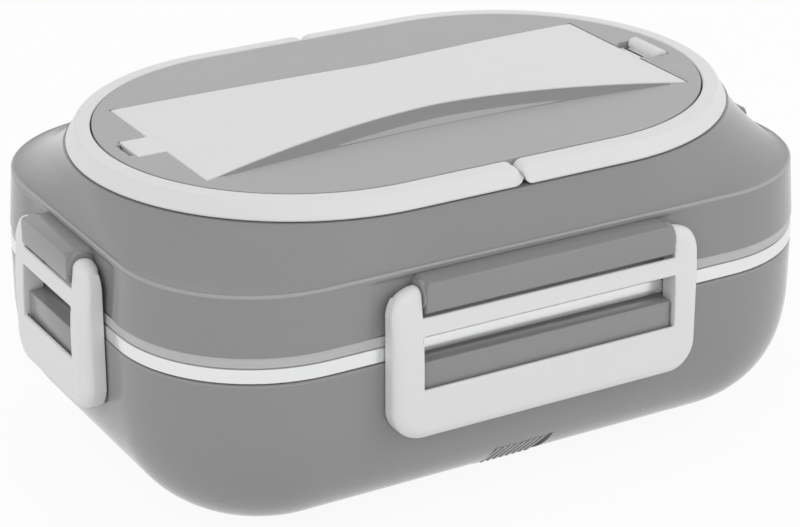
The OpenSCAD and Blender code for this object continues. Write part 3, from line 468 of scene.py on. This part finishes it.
BRASS = metal("contact_brass", (0.80, 0.62, 0.26), 0.25)

SLOT_MATERIALS = {
    "case_plastic": CASE, "plate_plastic": PLATE, "pale_plastic": PALE, "lip_plastic": LIP,
    "tray_plastic": TRAY, "liner_plastic": LINER, "grille_plastic": GRILLE, "black_plastic": BLACK,
    "flap_rubber": FLAP, "foot_rubber": FOOT, "seal_silicone": SEAL, "wire_sleeve": WIRE,
    "heater_ceramic": CERAMIC, "fuse_ceramic": FUSE, "insulation_felt": FELT, "lens_plastic": LENS,
    "container_steel": STEEL, "divider_steel": DIVIDER, "fastener_steel": SCREW,
    "clamp_steel": CLAMP, "heat_plate_metal": ALUMINIUM, "contact_brass": BRASS}


# Case: base, container, lid

def make_base():
    """The base's shell with its rounded rim, cut for what passes through it."""
    dense_z, rim_r = 12, 0.4
    heights = steps(FOOT_H, dense_z, 12)[:-1] + steps(dense_z, BELLY_H, 18)[:-1]
    heights += steps(BELLY_H, BASE_RIM - rim_r, 3)
    outer = [case_row(base_inset(z), z) for z in heights]
    for turn in (30, 60, 90):
        back = rim_r * (1 - math.cos(math.radians(turn)))
        up = rim_r * math.sin(math.radians(turn))
        outer.append(shifted(outer[-1], back, BASE_RIM - rim_r + up))
    heights = steps(BASE_RIM, BELLY_H, 3) + steps(BELLY_H, FOOT_H + SHELL_T, 20)[1:]
    inner = [case_row(base_inset(z) + SHELL_T, z) for z in heights]
    piece = loft("base_case", outer + inner, CASE, "base", "case_plastic", ["base_shell"])
    # Painted highlight line along the base's rim
    highlight_bead("rim_highlight", 0.6, BASE_RIM - 0.66, "base")
    return soften(cut(piece, base_cutters()))


def base_cutters():
    """Tools for the seat of the front insert, the inlet, the lamp and the base screws."""
    gap, seat_depth, outside_wall = 0.2, 1.5, 4
    low, high = span("front_grille")
    seat = []
    for z, d in ((low.z - gap, outside_wall), (high.z + gap, outside_wall),
                 (high.z + gap, -seat_depth), (low.z - gap, -seat_depth)):
        z_in = min(max(z, low.z), high.z)
        seat.append((HALF_W - base_inset(z_in) + d, z))
    tools = [tool_prism(seat, low.x - gap, high.x + gap)]

    behind, under = -120, -1
    low, high = span("inlet_housing")
    inlet = [(behind, under), (-low.y, under), (-low.y, high.z), (behind, high.z)]
    tools.append(tool_prism(inlet, low.x, high.x))

    lens_r, rear_wall_y = 2.3, 75
    low, high = span("indicator_lens")
    lens_place = ((low.x + high.x) / 2, rear_wall_y, (low.z + high.z) / 2)
    tools.append(tool_rod(lens_r, 40, lens_place, lying=True))

    screw_r, screw_x, screw_y = 3.2, 72, 36
    for x in (-screw_x, screw_x):
        for y in (-screw_y, screw_y):
            tools.append(tool_rod(screw_r, 20, (x, y, 0)))
    return tools


def tool_prism(profile, x0, x1):
    """A prism along X for cutting, its profile drawn as (outward, up) at the front."""
    bm = bmesh.new()
    ends = [[bm.verts.new(Vector((x, -u, z)) * MM) for u, z in profile] for x in (x0, x1)]
    n = len(profile)
    for i in range(n):
        bm.faces.new((ends[0][i], ends[0][(i + 1) % n], ends[1][(i + 1) % n], ends[1][i]))
    bm.faces.new(ends[0])
    bm.faces.new(ends[1])
    return tool_object(bm)


def tool_rod(radius, length, place, lying=False):
    """A round rod for cutting; it stands, or lies along Y."""
    bm = bmesh.new()
    bmesh.ops.create_cone(bm, cap_ends=True, segments=40, radius1=radius * MM,
                          radius2=radius * MM, depth=length * MM)
    if lying:
        bmesh.ops.rotate(bm, verts=bm.verts, matrix=Matrix.Rotation(math.radians(90), 3, "X"))
    bmesh.ops.translate(bm, verts=bm.verts, vec=Vector(place) * MM)
    return tool_object(bm)


def tool_object(bm):
    """An object that holds a cutting shape until cut() removes it."""
    bmesh.ops.recalc_face_normals(bm, faces=bm.faces)
    mesh = bpy.data.meshes.new("tool")
    bm.to_mesh(mesh)
    bm.free()
    holder = bpy.data.objects.new("tool", mesh)
    bpy.context.scene.collection.objects.link(holder)
    return holder


def cut(piece, tools):
    """Takes the tools out of a piece and removes them."""
    for holder in tools:
        step = piece.modifiers.new("cut", "BOOLEAN")
        step.operation = "DIFFERENCE"
        step.solver = "EXACT"
        step.object = holder
    shape = piece.evaluated_get(bpy.context.evaluated_depsgraph_get())
    mesh = bpy.data.meshes.new_from_object(shape)
    piece.modifiers.clear()
    piece.data = mesh
    mesh.name = piece.name
    for holder in tools:
        bpy.data.objects.remove(holder)
    return piece


def shifted(row, back, z):
    """A row moved inwards by a small distance and to another height."""
    out = []
    for x, y, _ in row:
        r = math.hypot(x / HALF_L, y / HALF_W)
        out.append((x - back * x / HALF_L / r, y - back * y / HALF_W / r, z))
    return out


def shoulder_row(f, inset, z):
    """Outline of the lid at a share f of the way in from the crest line to the deck."""
    hx, hy, r = HALF_L - SKIRT_DRAFT, HALF_W - SKIRT_DRAFT, CORNER_R - SKIRT_DRAFT
    return outline(hx + f * (RING_S + DECK_R - hx) - inset, hy + f * (DECK_R - hy) - inset,
                   r + f * (DECK_R - 0.5 - r) - inset, z)


def make_lid():
    """The lid's shell: skirt with its latch recesses, rounded crest, hollow shoulder and deck."""
    fade_drop, fade_h, recess_lean = 2.7, 1.5, 1.2
    climb = DECK_Z - CREST_Z

    def draft(z):
        return SKIRT_DRAFT * (z - LID_Z0) / (CREST_Z - LID_Z0)

    def height(f):
        return 1 - (1 - f**SHOULDER_P) ** SHOULDER_Q

    def recess(z):
        plane = RECESS_D + recess_lean * (z - LID_Z0) / (CREST_Z - LID_Z0)
        return plane + (draft(z) - plane) * smooth((z - CREST_Z + fade_drop) / fade_h)

    heights = steps(LID_Z0 + 1, CREST_Z - 3, 8)
    heights += steps(CREST_Z - fade_drop, CREST_Z - CREST_R, 6)
    low_edge = [(LID_Z0, 0.3), (LID_Z0 + 0.1, 0.1), (LID_Z0 + 0.3, 0.0)]
    skirt = [case_row(draft(z) + e, z) for z, e in low_edge + [(z, 0.0) for z in heights]]
    skirt = pressed(skirt, recess)
    for a in steps(0, 80, 6)[1:]:
        turn = math.radians(a)
        skirt.append(case_row(draft(CREST_Z) + CREST_R * (1 - math.cos(turn)),
                              CREST_Z - CREST_R * (1 - math.sin(turn))))

    shares = [1 - (1 - t) ** 1.4 for t in steps(0, 1, 40)]
    shoulder = [shoulder_row(f, CREST_R * (1 - f) ** 3, CREST_Z + height(f) * climb) for f in shares]
    open_hx, open_corner = RING_S + LID_OPEN_R, LID_OPEN_R - 0.5
    deck = [outline(open_hx, LID_OPEN_R, open_corner, z) for z in (DECK_Z, DECK_Z - SHELL_T)]
    inside = [shoulder_row(f, SHELL_T, CREST_Z - SHELL_T + height(f) * climb) for f in shares[::-2]]
    inside += [case_row(SHELL_T, LID_Z0)]
    rows = skirt + shoulder + deck + inside
    # Painted highlight line along the crest
    highlight_bead("crest_highlight", draft(CREST_Z) + 0.52, CREST_Z - 0.52, "lid")
    return soften(loft("lid_case", rows, CASE, "lid", "case_plastic", ["lid_shell"], ring=True))


def highlight_bead(name, inset, z, body):
    """A thin bead along an edge of the case in a lighter copy of its plastic, a painted highlight line."""
    bead_r = 0.62
    turns = [math.radians(a) for a in range(0, 360, 30)]
    rows = [case_row(inset - bead_r * math.cos(t), z + bead_r * math.sin(t)) for t in turns]
    return soften(loft(name, rows, CASE_HIGHLIGHT, body, "case_plastic", ring=True), 60)


def make_lip():
    """The grey edge of the inner lid between the steel rim and the lid, with its two grooves."""
    low, back = BAND_Z1 + 0.05, 1.8
    lower_face, upper_face, groove = 0.42, 0.47, 0.82
    profile = [(back, low), (lower_face + 0.2, low), (lower_face, low + 0.2)]
    for z, face in ((low + 1.0, lower_face), (low + 2.2, upper_face)):
        profile += [(face, z), (groove, z + 0.1), (groove, z + 0.3), (upper_face, z + 0.4)]
    profile += [(upper_face, LID_Z0), (back, LID_Z0)]
    rows = [case_row(i, z) for i, z in profile]
    return soften(loft("lip_edge", rows, LIP, "lid", "lip_plastic", ring=True))


def make_container():
    """The lift-out steel pan with its folded rim band."""
    bowl_h, bowl_in, bowl_p = 23.5, 20.0, 2.2
    band_z0 = BASE_RIM + 0.4

    def pan_inset(z):
        return PAN_IN + belly(z, PAN_Z0, bowl_h, bowl_in, bowl_p)

    low = steps(PAN_Z0, PAN_Z0 + bowl_h, 16)
    outer = [case_row(pan_inset(z), z) for z in low]
    rim = [(PAN_IN, BAND_Z1 - STEEL_T), (STEEL_T, BAND_Z1 - STEEL_T), (STEEL_T, band_z0),
           (0.1, band_z0), (0, band_z0 + 0.15), (0, BAND_Z1 - 0.5), (0.15, BAND_Z1 - 0.15),
           (0.5, BAND_Z1), (PAN_IN - 0.6, BAND_Z1), (PAN_IN + 0.3, BAND_Z1 - 0.3),
           (PAN_IN + STEEL_T, BAND_Z1 - 1.2)]
    inner = [case_row(pan_inset(z) + STEEL_T, z + STEEL_T) for z in low[::-1]]
    rows = outer + [case_row(i, z) for i, z in rim] + inner
    return soften(loft("container_pan", rows, STEEL, "container", "container_steel",
                       ["food_container"]))


# Hinge blocks and catch ledges

BLOCK_LOW, BLOCK_TOP = 74.4, CREST_Z - 1.8
BLOCK_D = 7.7
PIN_U = 3.3
PIN_Z = (PIN_LOW.z + PIN_HIGH.z) / 2
COLLAR_R = 4.2
SILL_Z = 51.3
LEDGE_LOW = SILL_Z - 2.7
LEDGE_D = 6.4
LEDGE_SLOPE_D, LEDGE_SLOPE_H = 1.5, 2.1


def make_block(name, half):
    """The block above a latch, its ends sloping off at the top."""
    length, slope, back, chamfer, top_r = half - LATCH_LEG - 0.9, 1.3, -2.5, 1.1, 0.4
    rows = []
    for x, top in ((-length, BLOCK_TOP - slope), (-length + slope, BLOCK_TOP),
                   (length - slope, BLOCK_TOP), (length, BLOCK_TOP - slope)):
        block = [(back, BLOCK_LOW), (BLOCK_D - chamfer, BLOCK_LOW), (BLOCK_D, BLOCK_LOW + chamfer),
                 (BLOCK_D, top - top_r), (BLOCK_D - top_r, top), (back, top)]
        rows.append([(x, -u, z) for u, z in block])
    return bevelled(loft(name, rows, CASE, "lid", "case_plastic"), 0.45, angle=25)


def make_collars(name, half):
    """The round body of the hinge behind a block."""
    end = half - LATCH_LEG - 0.3
    turns = [math.radians(a) for a in range(0, 360, 8)]
    ring = [(PIN_U + COLLAR_R * math.cos(t), PIN_Z + COLLAR_R * math.sin(t)) for t in turns]
    return bevelled(prism_x(name, ring, -end, end, CASE, "lid", "case_plastic"), 0.25)


def make_ledge(name, half):
    """The ledge on the base that a latch hooks under."""
    end, back, top = half - LATCH_LEG - 0.7, -1, BASE_RIM - 0.1
    ledge = [(back, top), (LEDGE_D, top), (LEDGE_D, LEDGE_LOW + LEDGE_SLOPE_H),
             (LEDGE_D - LEDGE_SLOPE_D, LEDGE_LOW), (back, LEDGE_LOW)]
    return bevelled(prism_x(name, ledge, -end, end, CASE, "base", "case_plastic"), 0.4)


# Latches

LATCH_D = -LATCH_LOW.y - WALL_Y
LATCH_Z0 = LATCH_LOW.z
LATCH_TOP = PIN_Z + 3.9
BAR_Z0, BAR_Z1 = 67.8, 73.3


def latch_field(half):
    """Field of a latch at the front wall.

    a runs along the wall, and y is minus the distance u from the wall's recess plane.
    """
    edge_w, foot_h, edge_d, corner = 5.5, 3.6, 3.4, 9.6
    eye_r, nose_r, back_u, leg_wall = 3.7, 4.0, 1.1, 3.4
    back_r, window_r, window_edge, bar_edge = 0.3, 0.5, 0.35, 0.6
    wall, hook_gap, hook_in, hook_out, hook_low = 2, 0.4, 1.05, 0.8, 3.2
    tilt = math.radians(11.6)
    mid_z, half_z = (LATCH_Z0 + LATCH_TOP) / 2, (LATCH_TOP - LATCH_Z0) / 2
    slant = np.hypot(LEDGE_SLOPE_D, LEDGE_SLOPE_H)

    def plate(a, u, z):
        """The latch without its openings, its edges rounded wider at the sides than at the ends."""
        qa, qz = np.abs(a) - half + corner, np.abs(z - mid_z) - half_z + corner
        outer = rounded_box(a, z - mid_z, half, half_z, corner)
        sideways = np.clip(np.maximum(qa, 0) / np.maximum(outside(qa, qz), 1e-6), 0, 1)
        reach = foot_h + (edge_w - foot_h) * sideways**1.5
        eye = np.hypot(u - PIN_U, z - PIN_Z) - eye_r
        leaning = (u - PIN_U) * math.cos(tilt) + (z - PIN_Z) * math.sin(tilt) - eye_r
        nose = np.where(np.arctan2(z - PIN_Z, u - PIN_U) > tilt, eye, leaning)
        front = round_both(u - LATCH_D, nose, nose_r)
        o, e = outer / reach, front / edge_d
        body = np.where((o > -1) & (e > -1), outside(1 + o, 1 + e) - 1, np.maximum(o, e)) * edge_d
        body = np.where(outer < 0, body, np.maximum(body, outer))
        back = np.minimum(back_u - u, np.maximum(eye, outer + leg_wall))
        return round_both(body, np.where(z > PIN_Z, -5.0, back), back_r)

    def hook(across, u, z):
        """The hook that catches under the ledge."""
        top_face = ((z - LEDGE_LOW - LEDGE_SLOPE_H) * LEDGE_SLOPE_D
                    - (u - LEDGE_D) * LEDGE_SLOPE_H) / slant + hook_gap
        low_face = (LEDGE_LOW - hook_low - z) + (LEDGE_D + hook_gap - u) * 1.2
        sides = np.maximum(u - LEDGE_D - hook_out, across + 1.5)
        return np.maximum(np.maximum(LEDGE_D - hook_in - u, sides), np.maximum(top_face, low_face))

    def field(a, y, z):
        u, across = -y, np.abs(a) - half + LATCH_LEG
        body = plate(a, u, z)
        window = rounded_box(a, z - (SILL_Z + BAR_Z0) / 2, half - LATCH_LEG,
                             (BAR_Z0 - SILL_Z) / 2, window_r)
        body = round_both(body, -window, window_edge)
        body = round_both(body, -np.maximum(across, BAR_Z1 - z), bar_edge)
        above_foot = np.maximum(across, LATCH_Z0 + wall - z)
        body = np.maximum(body, -np.maximum(above_foot, u - LATCH_D + wall))
        behind_ledge = np.maximum(above_foot, u - LEDGE_D - hook_gap)
        body = np.maximum(body, -np.maximum(behind_ledge, z - BAR_Z0))
        return np.minimum(body, hook(across, u, z))

    return field


def make_latch(name, half):
    """One latch, as a body of its own."""
    cell = 0.5
    low = (-half - 1, -LATCH_D - 1, LATCH_Z0 - 1)
    high = (half + 1, 1.5, LATCH_TOP + 1)
    return moulded(name + "_shell", latch_field(half), low, high, cell,
                   PALE, name, "pale_plastic", [name])


# Handle ring

def ring_profile():
    """Section of the ring as (distance from its centre line, height), with rounded corners."""
    width, slope_w, low_h, drop = 7.5, 4.9, 0.6, 0.35
    inner = RING_R - width
    z0, z1 = RING_LOW.z, RING_HIGH.z
    corners = [((inner, z0), 0.4), ((RING_R, z0), 0.3), ((RING_R, z0 + low_h), 0.5),
               ((inner + slope_w, z1 - drop), 1.2), ((inner, z1), 0.8)]
    out = []
    for i, (p, r) in enumerate(corners):
        p = Vector(p)
        before, after = Vector(corners[i - 1][0]), Vector(corners[(i + 1) % len(corners)][0])
        d0, d1 = (before - p).normalized(), (after - p).normalized()
        half = d0.angle(d1) / 2
        reach = min(r / math.tan(half), 0.45 * (before - p).length, 0.45 * (after - p).length)
        a, b = p + d0 * reach, p + d1 * reach
        out += [tuple(a.lerp(p, t).lerp(p.lerp(b, t), t)) for t in steps(0, 1, 5)]
    return out


def make_handle(name, side):
    """One half of the handle ring, swept round the end of the case; side is -1 for the left half."""
    pivot = 3.15
    mid, half_h = (RING_LOW.z + RING_HIGH.z) / 2, (RING_HIGH.z - RING_LOW.z) / 2
    profile = ring_profile()
    tips = [-pivot + half_h * math.cos(math.radians(a)) for a in steps(4, 90, 9)]
    run = [-t for t in steps(pivot, RING_S, 12)[1:]]
    rows = []

    def section(x, y, nx, ny, squash=1.0):
        rows.append([(side * -(x + nx * d), y + ny * d, mid + (z - mid) * squash) for d, z in profile])

    for sy in (1, -1):
        straight = tips + run
        for x in straight if sy > 0 else straight[::-1]:
            squash = 1.0 if x < -pivot else math.sqrt(max(0.0, 1 - ((x + pivot) / half_h) ** 2))
            section(x, 0, 0, sy, squash)
        if sy > 0:
            for a in steps(90, 270, 60)[1:-1]:
                turn = math.radians(a)
                section(-RING_S, 0, math.cos(turn), math.sin(turn))
    return soften(loft(name + "_ring", rows, PALE, name, "pale_plastic", [name]), 40)


# Cutlery cover and its raised surround

PLATE_Z1 = 104.9
COVER_HL, COVER_W, WAIST_W, FLANK_W, ARCH_H = 83.6, 66.6, 41.2, 55.2, 4.2
COVER_T = 1.6
ARCH_R = (COVER_HL**2 + ARCH_H**2) / (2 * ARCH_H)
TAB_X, TAB_HALF = span("cutlery_cover")[0].x, 6.8
HINGE_X, HINGE_Z, BARREL_R, BARREL_L, BORE_R = 91.9, 103.8, 2.4, 16.0, 1.0


def waist(x):
    """Half width of the cover at x."""
    return (WAIST_W + (COVER_W - WAIST_W) * min(1, abs(x) / COVER_HL)**1.5) / 2


def flank(x):
    """Half width of the surround's foot at x."""
    return (FLANK_W + (COVER_W + 1 - FLANK_W) * min(1, abs(x) / COVER_HL)**2) / 2


def rise(x):
    """Height of the cover's arch at x."""
    return math.sqrt(ARCH_R**2 - x * x) - (ARCH_R - ARCH_H)


def make_cover():
    """The arched, waisted cover with rounded edges."""
    r = 0.5
    turns = [math.radians(a) for a in (0, 30, 60, 90)]
    ends = [COVER_HL - r + r * math.cos(t) for t in turns]
    xs = [-e for e in ends[:-1]] + steps(-COVER_HL + r, COVER_HL - r, 72) + ends[:-1][::-1]
    rows = []
    for x in xs:
        over = max(0.0, abs(x) - COVER_HL + r)
        drop = r - math.sqrt(r * r - over * over)
        top = PLATE_Z1 + rise(min(abs(x), COVER_HL)) - drop
        w = waist(x) - drop
        half = [(w - 0.9, top - COVER_T + 2 * drop), (w - 0.1, top - 0.9 + drop),
                (w, top - r + drop / 2)]
        half += [(w - r + r * math.cos(t), top - r + r * math.sin(t)) for t in turns[1:]]
        across = [(w - r) * (1 - 2 * i / 12) for i in range(1, 12)]
        rows.append([(x, y, z) for y, z in half] + [(x, y, top) for y in across]
                    + [(x, -y, z) for y, z in half[::-1]])
    return soften(loft("cover_panel", rows, PALE, "cutlery_cover", "pale_plastic",
                       ["cutlery_cover"]), 50)


def block_piece(name, low, high, round_off, *args):
    """A block between two corners with its edges rounded."""
    points = [(x, y, z) for x in (low[0], high[0]) for y in (low[1], high[1]) for z in (low[2], high[2])]
    faces = [(0, 1, 3, 2), (4, 6, 7, 5), (0, 4, 5, 1), (2, 3, 7, 6), (0, 2, 6, 4), (1, 5, 7, 3)]
    return bevelled(new_piece(name, points, faces, *args), round_off)


def make_cover_fittings():
    """The cover's snap tab and tongue at the left, and its neck, arm and barrel at the right."""
    args = (PALE, "cutlery_cover", "pale_plastic")
    under = PLATE_Z1 - COVER_T
    neck_top = under + 0.4
    neck_x = COVER_HL + 4.2
    step_x = neck_x - 1.3
    arm_low = HINGE_Z - 1.8
    for name, low, high, round_off in (
            ("cover_tab", (TAB_X, -TAB_HALF, under),
             (-COVER_HL + 2, TAB_HALF, PLATE_Z1 + 0.25), 0.5),
            ("cover_tongue", (TAB_X + 0.05, -4.5, PLATE_Z1 - 3),
             (TAB_X + 1.2, 4.5, PLATE_Z1 - 1), 0.15),
            ("cover_neck", (COVER_HL - 2, -TAB_HALF, under - 0.4),
             (neck_x, TAB_HALF, neck_top), 0.3),
            ("cover_step", (step_x, -TAB_HALF, arm_low), (neck_x, TAB_HALF, neck_top), 0.15),
            ("cover_arm", (step_x, -TAB_HALF, arm_low), (HINGE_X, TAB_HALF, HINGE_Z - 0.8), 0.15)):
        block_piece(name, low, high, round_off, *args)

    def ring_row(y, r):
        turns = [math.radians(t) for t in range(0, 360, 9)]
        return [(HINGE_X + r * math.cos(a), y, HINGE_Z + r * math.sin(a)) for a in turns]

    ends = [(-BARREL_L / 2 + d, BARREL_R - shrink) for d, shrink in ((0, 0.5), (0.15, 0.15), (0.5, 0))]
    outer = [ring_row(y, r) for y, r in ends + [(-y, r) for y, r in ends[::-1]]]
    bore = [ring_row(y, BORE_R) for y in (BARREL_L / 2, -BARREL_L / 2)]
    soften(loft("cover_barrel", outer + bore, *args, ring=True), 50)


def make_surround(name, side):
    """Hollow-cheeked flank that carries the plate up to the arched cover, in a darker copy of the plate
    plastic: painted shade and painted reflection.
    """
    gap, foot = 0.35, -0.6
    reach = COVER_HL - 6
    rows = []
    for x in steps(-reach, reach, 80):
        top = rise(x) - gap
        start, end = waist(x) + gap, flank(x) + gap
        edge = min(0.5, 0.3 * (end - start))
        section = [(start, foot), (start, top - 0.15), (start + 0.15, top)]
        section += [(start + edge + (end - start - edge) * t, top * (1 - t)**2.1) for t in steps(0, 1, 12)]
        section.append((end, foot))
        rows.append([(x, side * y, PLATE_Z1 + max(z, foot)) for y, z in section])
    return soften(loft(name, rows, PLATE_PAINTED_SHADE, "lid", "plate_plastic"), 45)


make_base()
make_lid()
make_lip()
make_container()
make_cover()
make_cover_fittings()
make_surround("surround_front", -1)
make_surround("surround_rear", 1)
on_sides("hinge_block", make_block)
on_sides("hinge_collars", make_collars)
on_sides("catch_ledge", make_ledge)
on_sides("latch", make_latch)
make_handle("handle_left", -1)
make_handle("handle_right", 1)

# CAD pieces that keep their shape get their material
SLOT_OF = {s["node"]: s["material_slot"] for s in frame["record"]["subparts"]}
for node, piece in frame["nodes"].items():
    piece.data.materials.clear()
    piece.data.materials.append(SLOT_MATERIALS[SLOT_OF[node]])


# Stage: floor, lamps, world and camera

def lamp(name, place, aim, size, power):
    """A soft lamp that lights the object and isn't mirrored in it."""
    light = bpy.data.lights.new(name, "AREA")
    light.shape = "RECTANGLE"
    light.size, light.size_y = size
    light.energy = power
    holder = bpy.data.objects.new(name, light)
    bpy.context.scene.collection.objects.link(holder)
    holder.visible_glossy = False
    holder.location = place
    holder.rotation_euler = (Vector(aim) - Vector(place)).to_track_quat("-Z", "Y").to_euler()


def seen_share(tree, most):
    """The share of plain white that camera, glossy and transmission rays meet; other rays meet none."""
    path = tree.nodes.new("ShaderNodeLightPath")
    total = path.outputs["Is Camera Ray"]
    for kind in ("Is Glossy Ray", "Is Transmission Ray"):
        both = tree.nodes.new("ShaderNodeMath")
        both.operation = "ADD"
        both.use_clamp = True
        tree.links.new(total, both.inputs[0])
        tree.links.new(path.outputs[kind], both.inputs[1])
        total = both.outputs["Value"]
    share = tree.nodes.new("ShaderNodeMath")
    share.operation = "MULTIPLY"
    share.inputs[1].default_value = most
    tree.links.new(total, share.inputs[0])
    return share.outputs["Value"]


def make_floor():
    """A pale floor that keeps some of its shading, and so the object's shadow."""
    half_size, white_share = 12.0, 0.93
    corners = [(-1, -1), (1, -1), (1, 1), (-1, 1)]
    mesh = bpy.data.meshes.new("floor")
    mesh.from_pydata([(x * half_size, y * half_size, 0) for x, y in corners], [], [(0, 1, 2, 3)])
    floor = bpy.data.objects.new("floor", mesh)
    bpy.context.scene.collection.objects.link(floor)
    material, tree, shader = node_tree("floor_white")
    shader.inputs["Base Color"].default_value = (0.9, 0.9, 0.9, 1)
    shader.inputs["Roughness"].default_value = 0.9
    shader.inputs["Specular IOR Level"].default_value = 0.0
    glow = tree.nodes.new("ShaderNodeEmission")
    glow.inputs["Strength"].default_value = 1.0
    mix = tree.nodes.new("ShaderNodeMixShader")
    tree.links.new(seen_share(tree, white_share), mix.inputs["Fac"])
    tree.links.new(shader.outputs["BSDF"], mix.inputs[1])
    tree.links.new(glow.outputs["Emission"], mix.inputs[2])
    tree.links.new(mix.outputs["Shader"], tree.nodes["Material Output"].inputs["Surface"])
    mesh.materials.append(material)


def make_world():
    """A room that lights from all sides, most from a band over the horizon, and a plain white view."""
    bands = ((0.0, 0.8), (0.5, 1.0), (0.68, 0.95), (0.75, 0.95),
             (0.76, 1.9), (0.86, 1.9), (0.87, 0.4), (1.0, 0.35))
    world = bpy.data.worlds.new("studio")
    bpy.context.scene.world = world
    world.use_nodes = True
    nodes, links = world.node_tree.nodes, world.node_tree.links
    room = nodes["Background"]
    room.inputs["Strength"].default_value = 0.80
    coords = nodes.new("ShaderNodeTexCoord")
    parts = nodes.new("ShaderNodeSeparateXYZ")
    links.new(coords.outputs["Generated"], parts.inputs["Vector"])
    ramp = nodes.new("ShaderNodeValToRGB")
    links.new(ranged(world.node_tree, parts.outputs["Z"], -1, 1, 0, 1), ramp.inputs["Fac"])
    while len(ramp.color_ramp.elements) < len(bands):
        ramp.color_ramp.elements.new(0.5)
    for element, (place, level) in zip(ramp.color_ramp.elements, bands):
        element.position = place
        element.color = (level, level, level, 1)
    links.new(ramp.outputs["Color"], room.inputs["Color"])
    white = nodes.new("ShaderNodeBackground")
    white.inputs["Color"].default_value = (1, 1, 1, 1)
    white.inputs["Strength"].default_value = 1.0
    mix = nodes.new("ShaderNodeMixShader")
    links.new(seen_share(world.node_tree, 1.0), mix.inputs["Fac"])
    links.new(room.outputs["Background"], mix.inputs[1])
    links.new(white.outputs["Background"], mix.inputs[2])
    links.new(mix.outputs["Shader"], nodes["World Output"].inputs["Surface"])


def make_camera():
    """The camera at the photograph's viewing angle."""
    data = bpy.data.cameras.new("camera")
    data.sensor_fit = "HORIZONTAL"
    data.sensor_width = SENSOR_MM
    data.lens = LENS_MM
    data.clip_start = 0.01
    camera = bpy.data.objects.new("camera", data)
    bpy.context.scene.collection.objects.link(camera)
    camera.location = CAMERA_PLACE
    camera.rotation_euler = Vector(CAMERA_LOOK).to_track_quat("-Z", "Y").to_euler()
    bpy.context.scene.camera = camera


make_floor()
make_world()
MIDDLE = (0, 0, 0.06)
lamp("key", (-0.9, -0.5, 1.3), MIDDLE, (0.9, 0.9), 3.5)
lamp("fill", (1.1, -1.0, 0.8), MIDDLE, (0.8, 0.8), 4.0)
make_camera()
bpy.context.scene.view_settings.view_transform = "Standard"
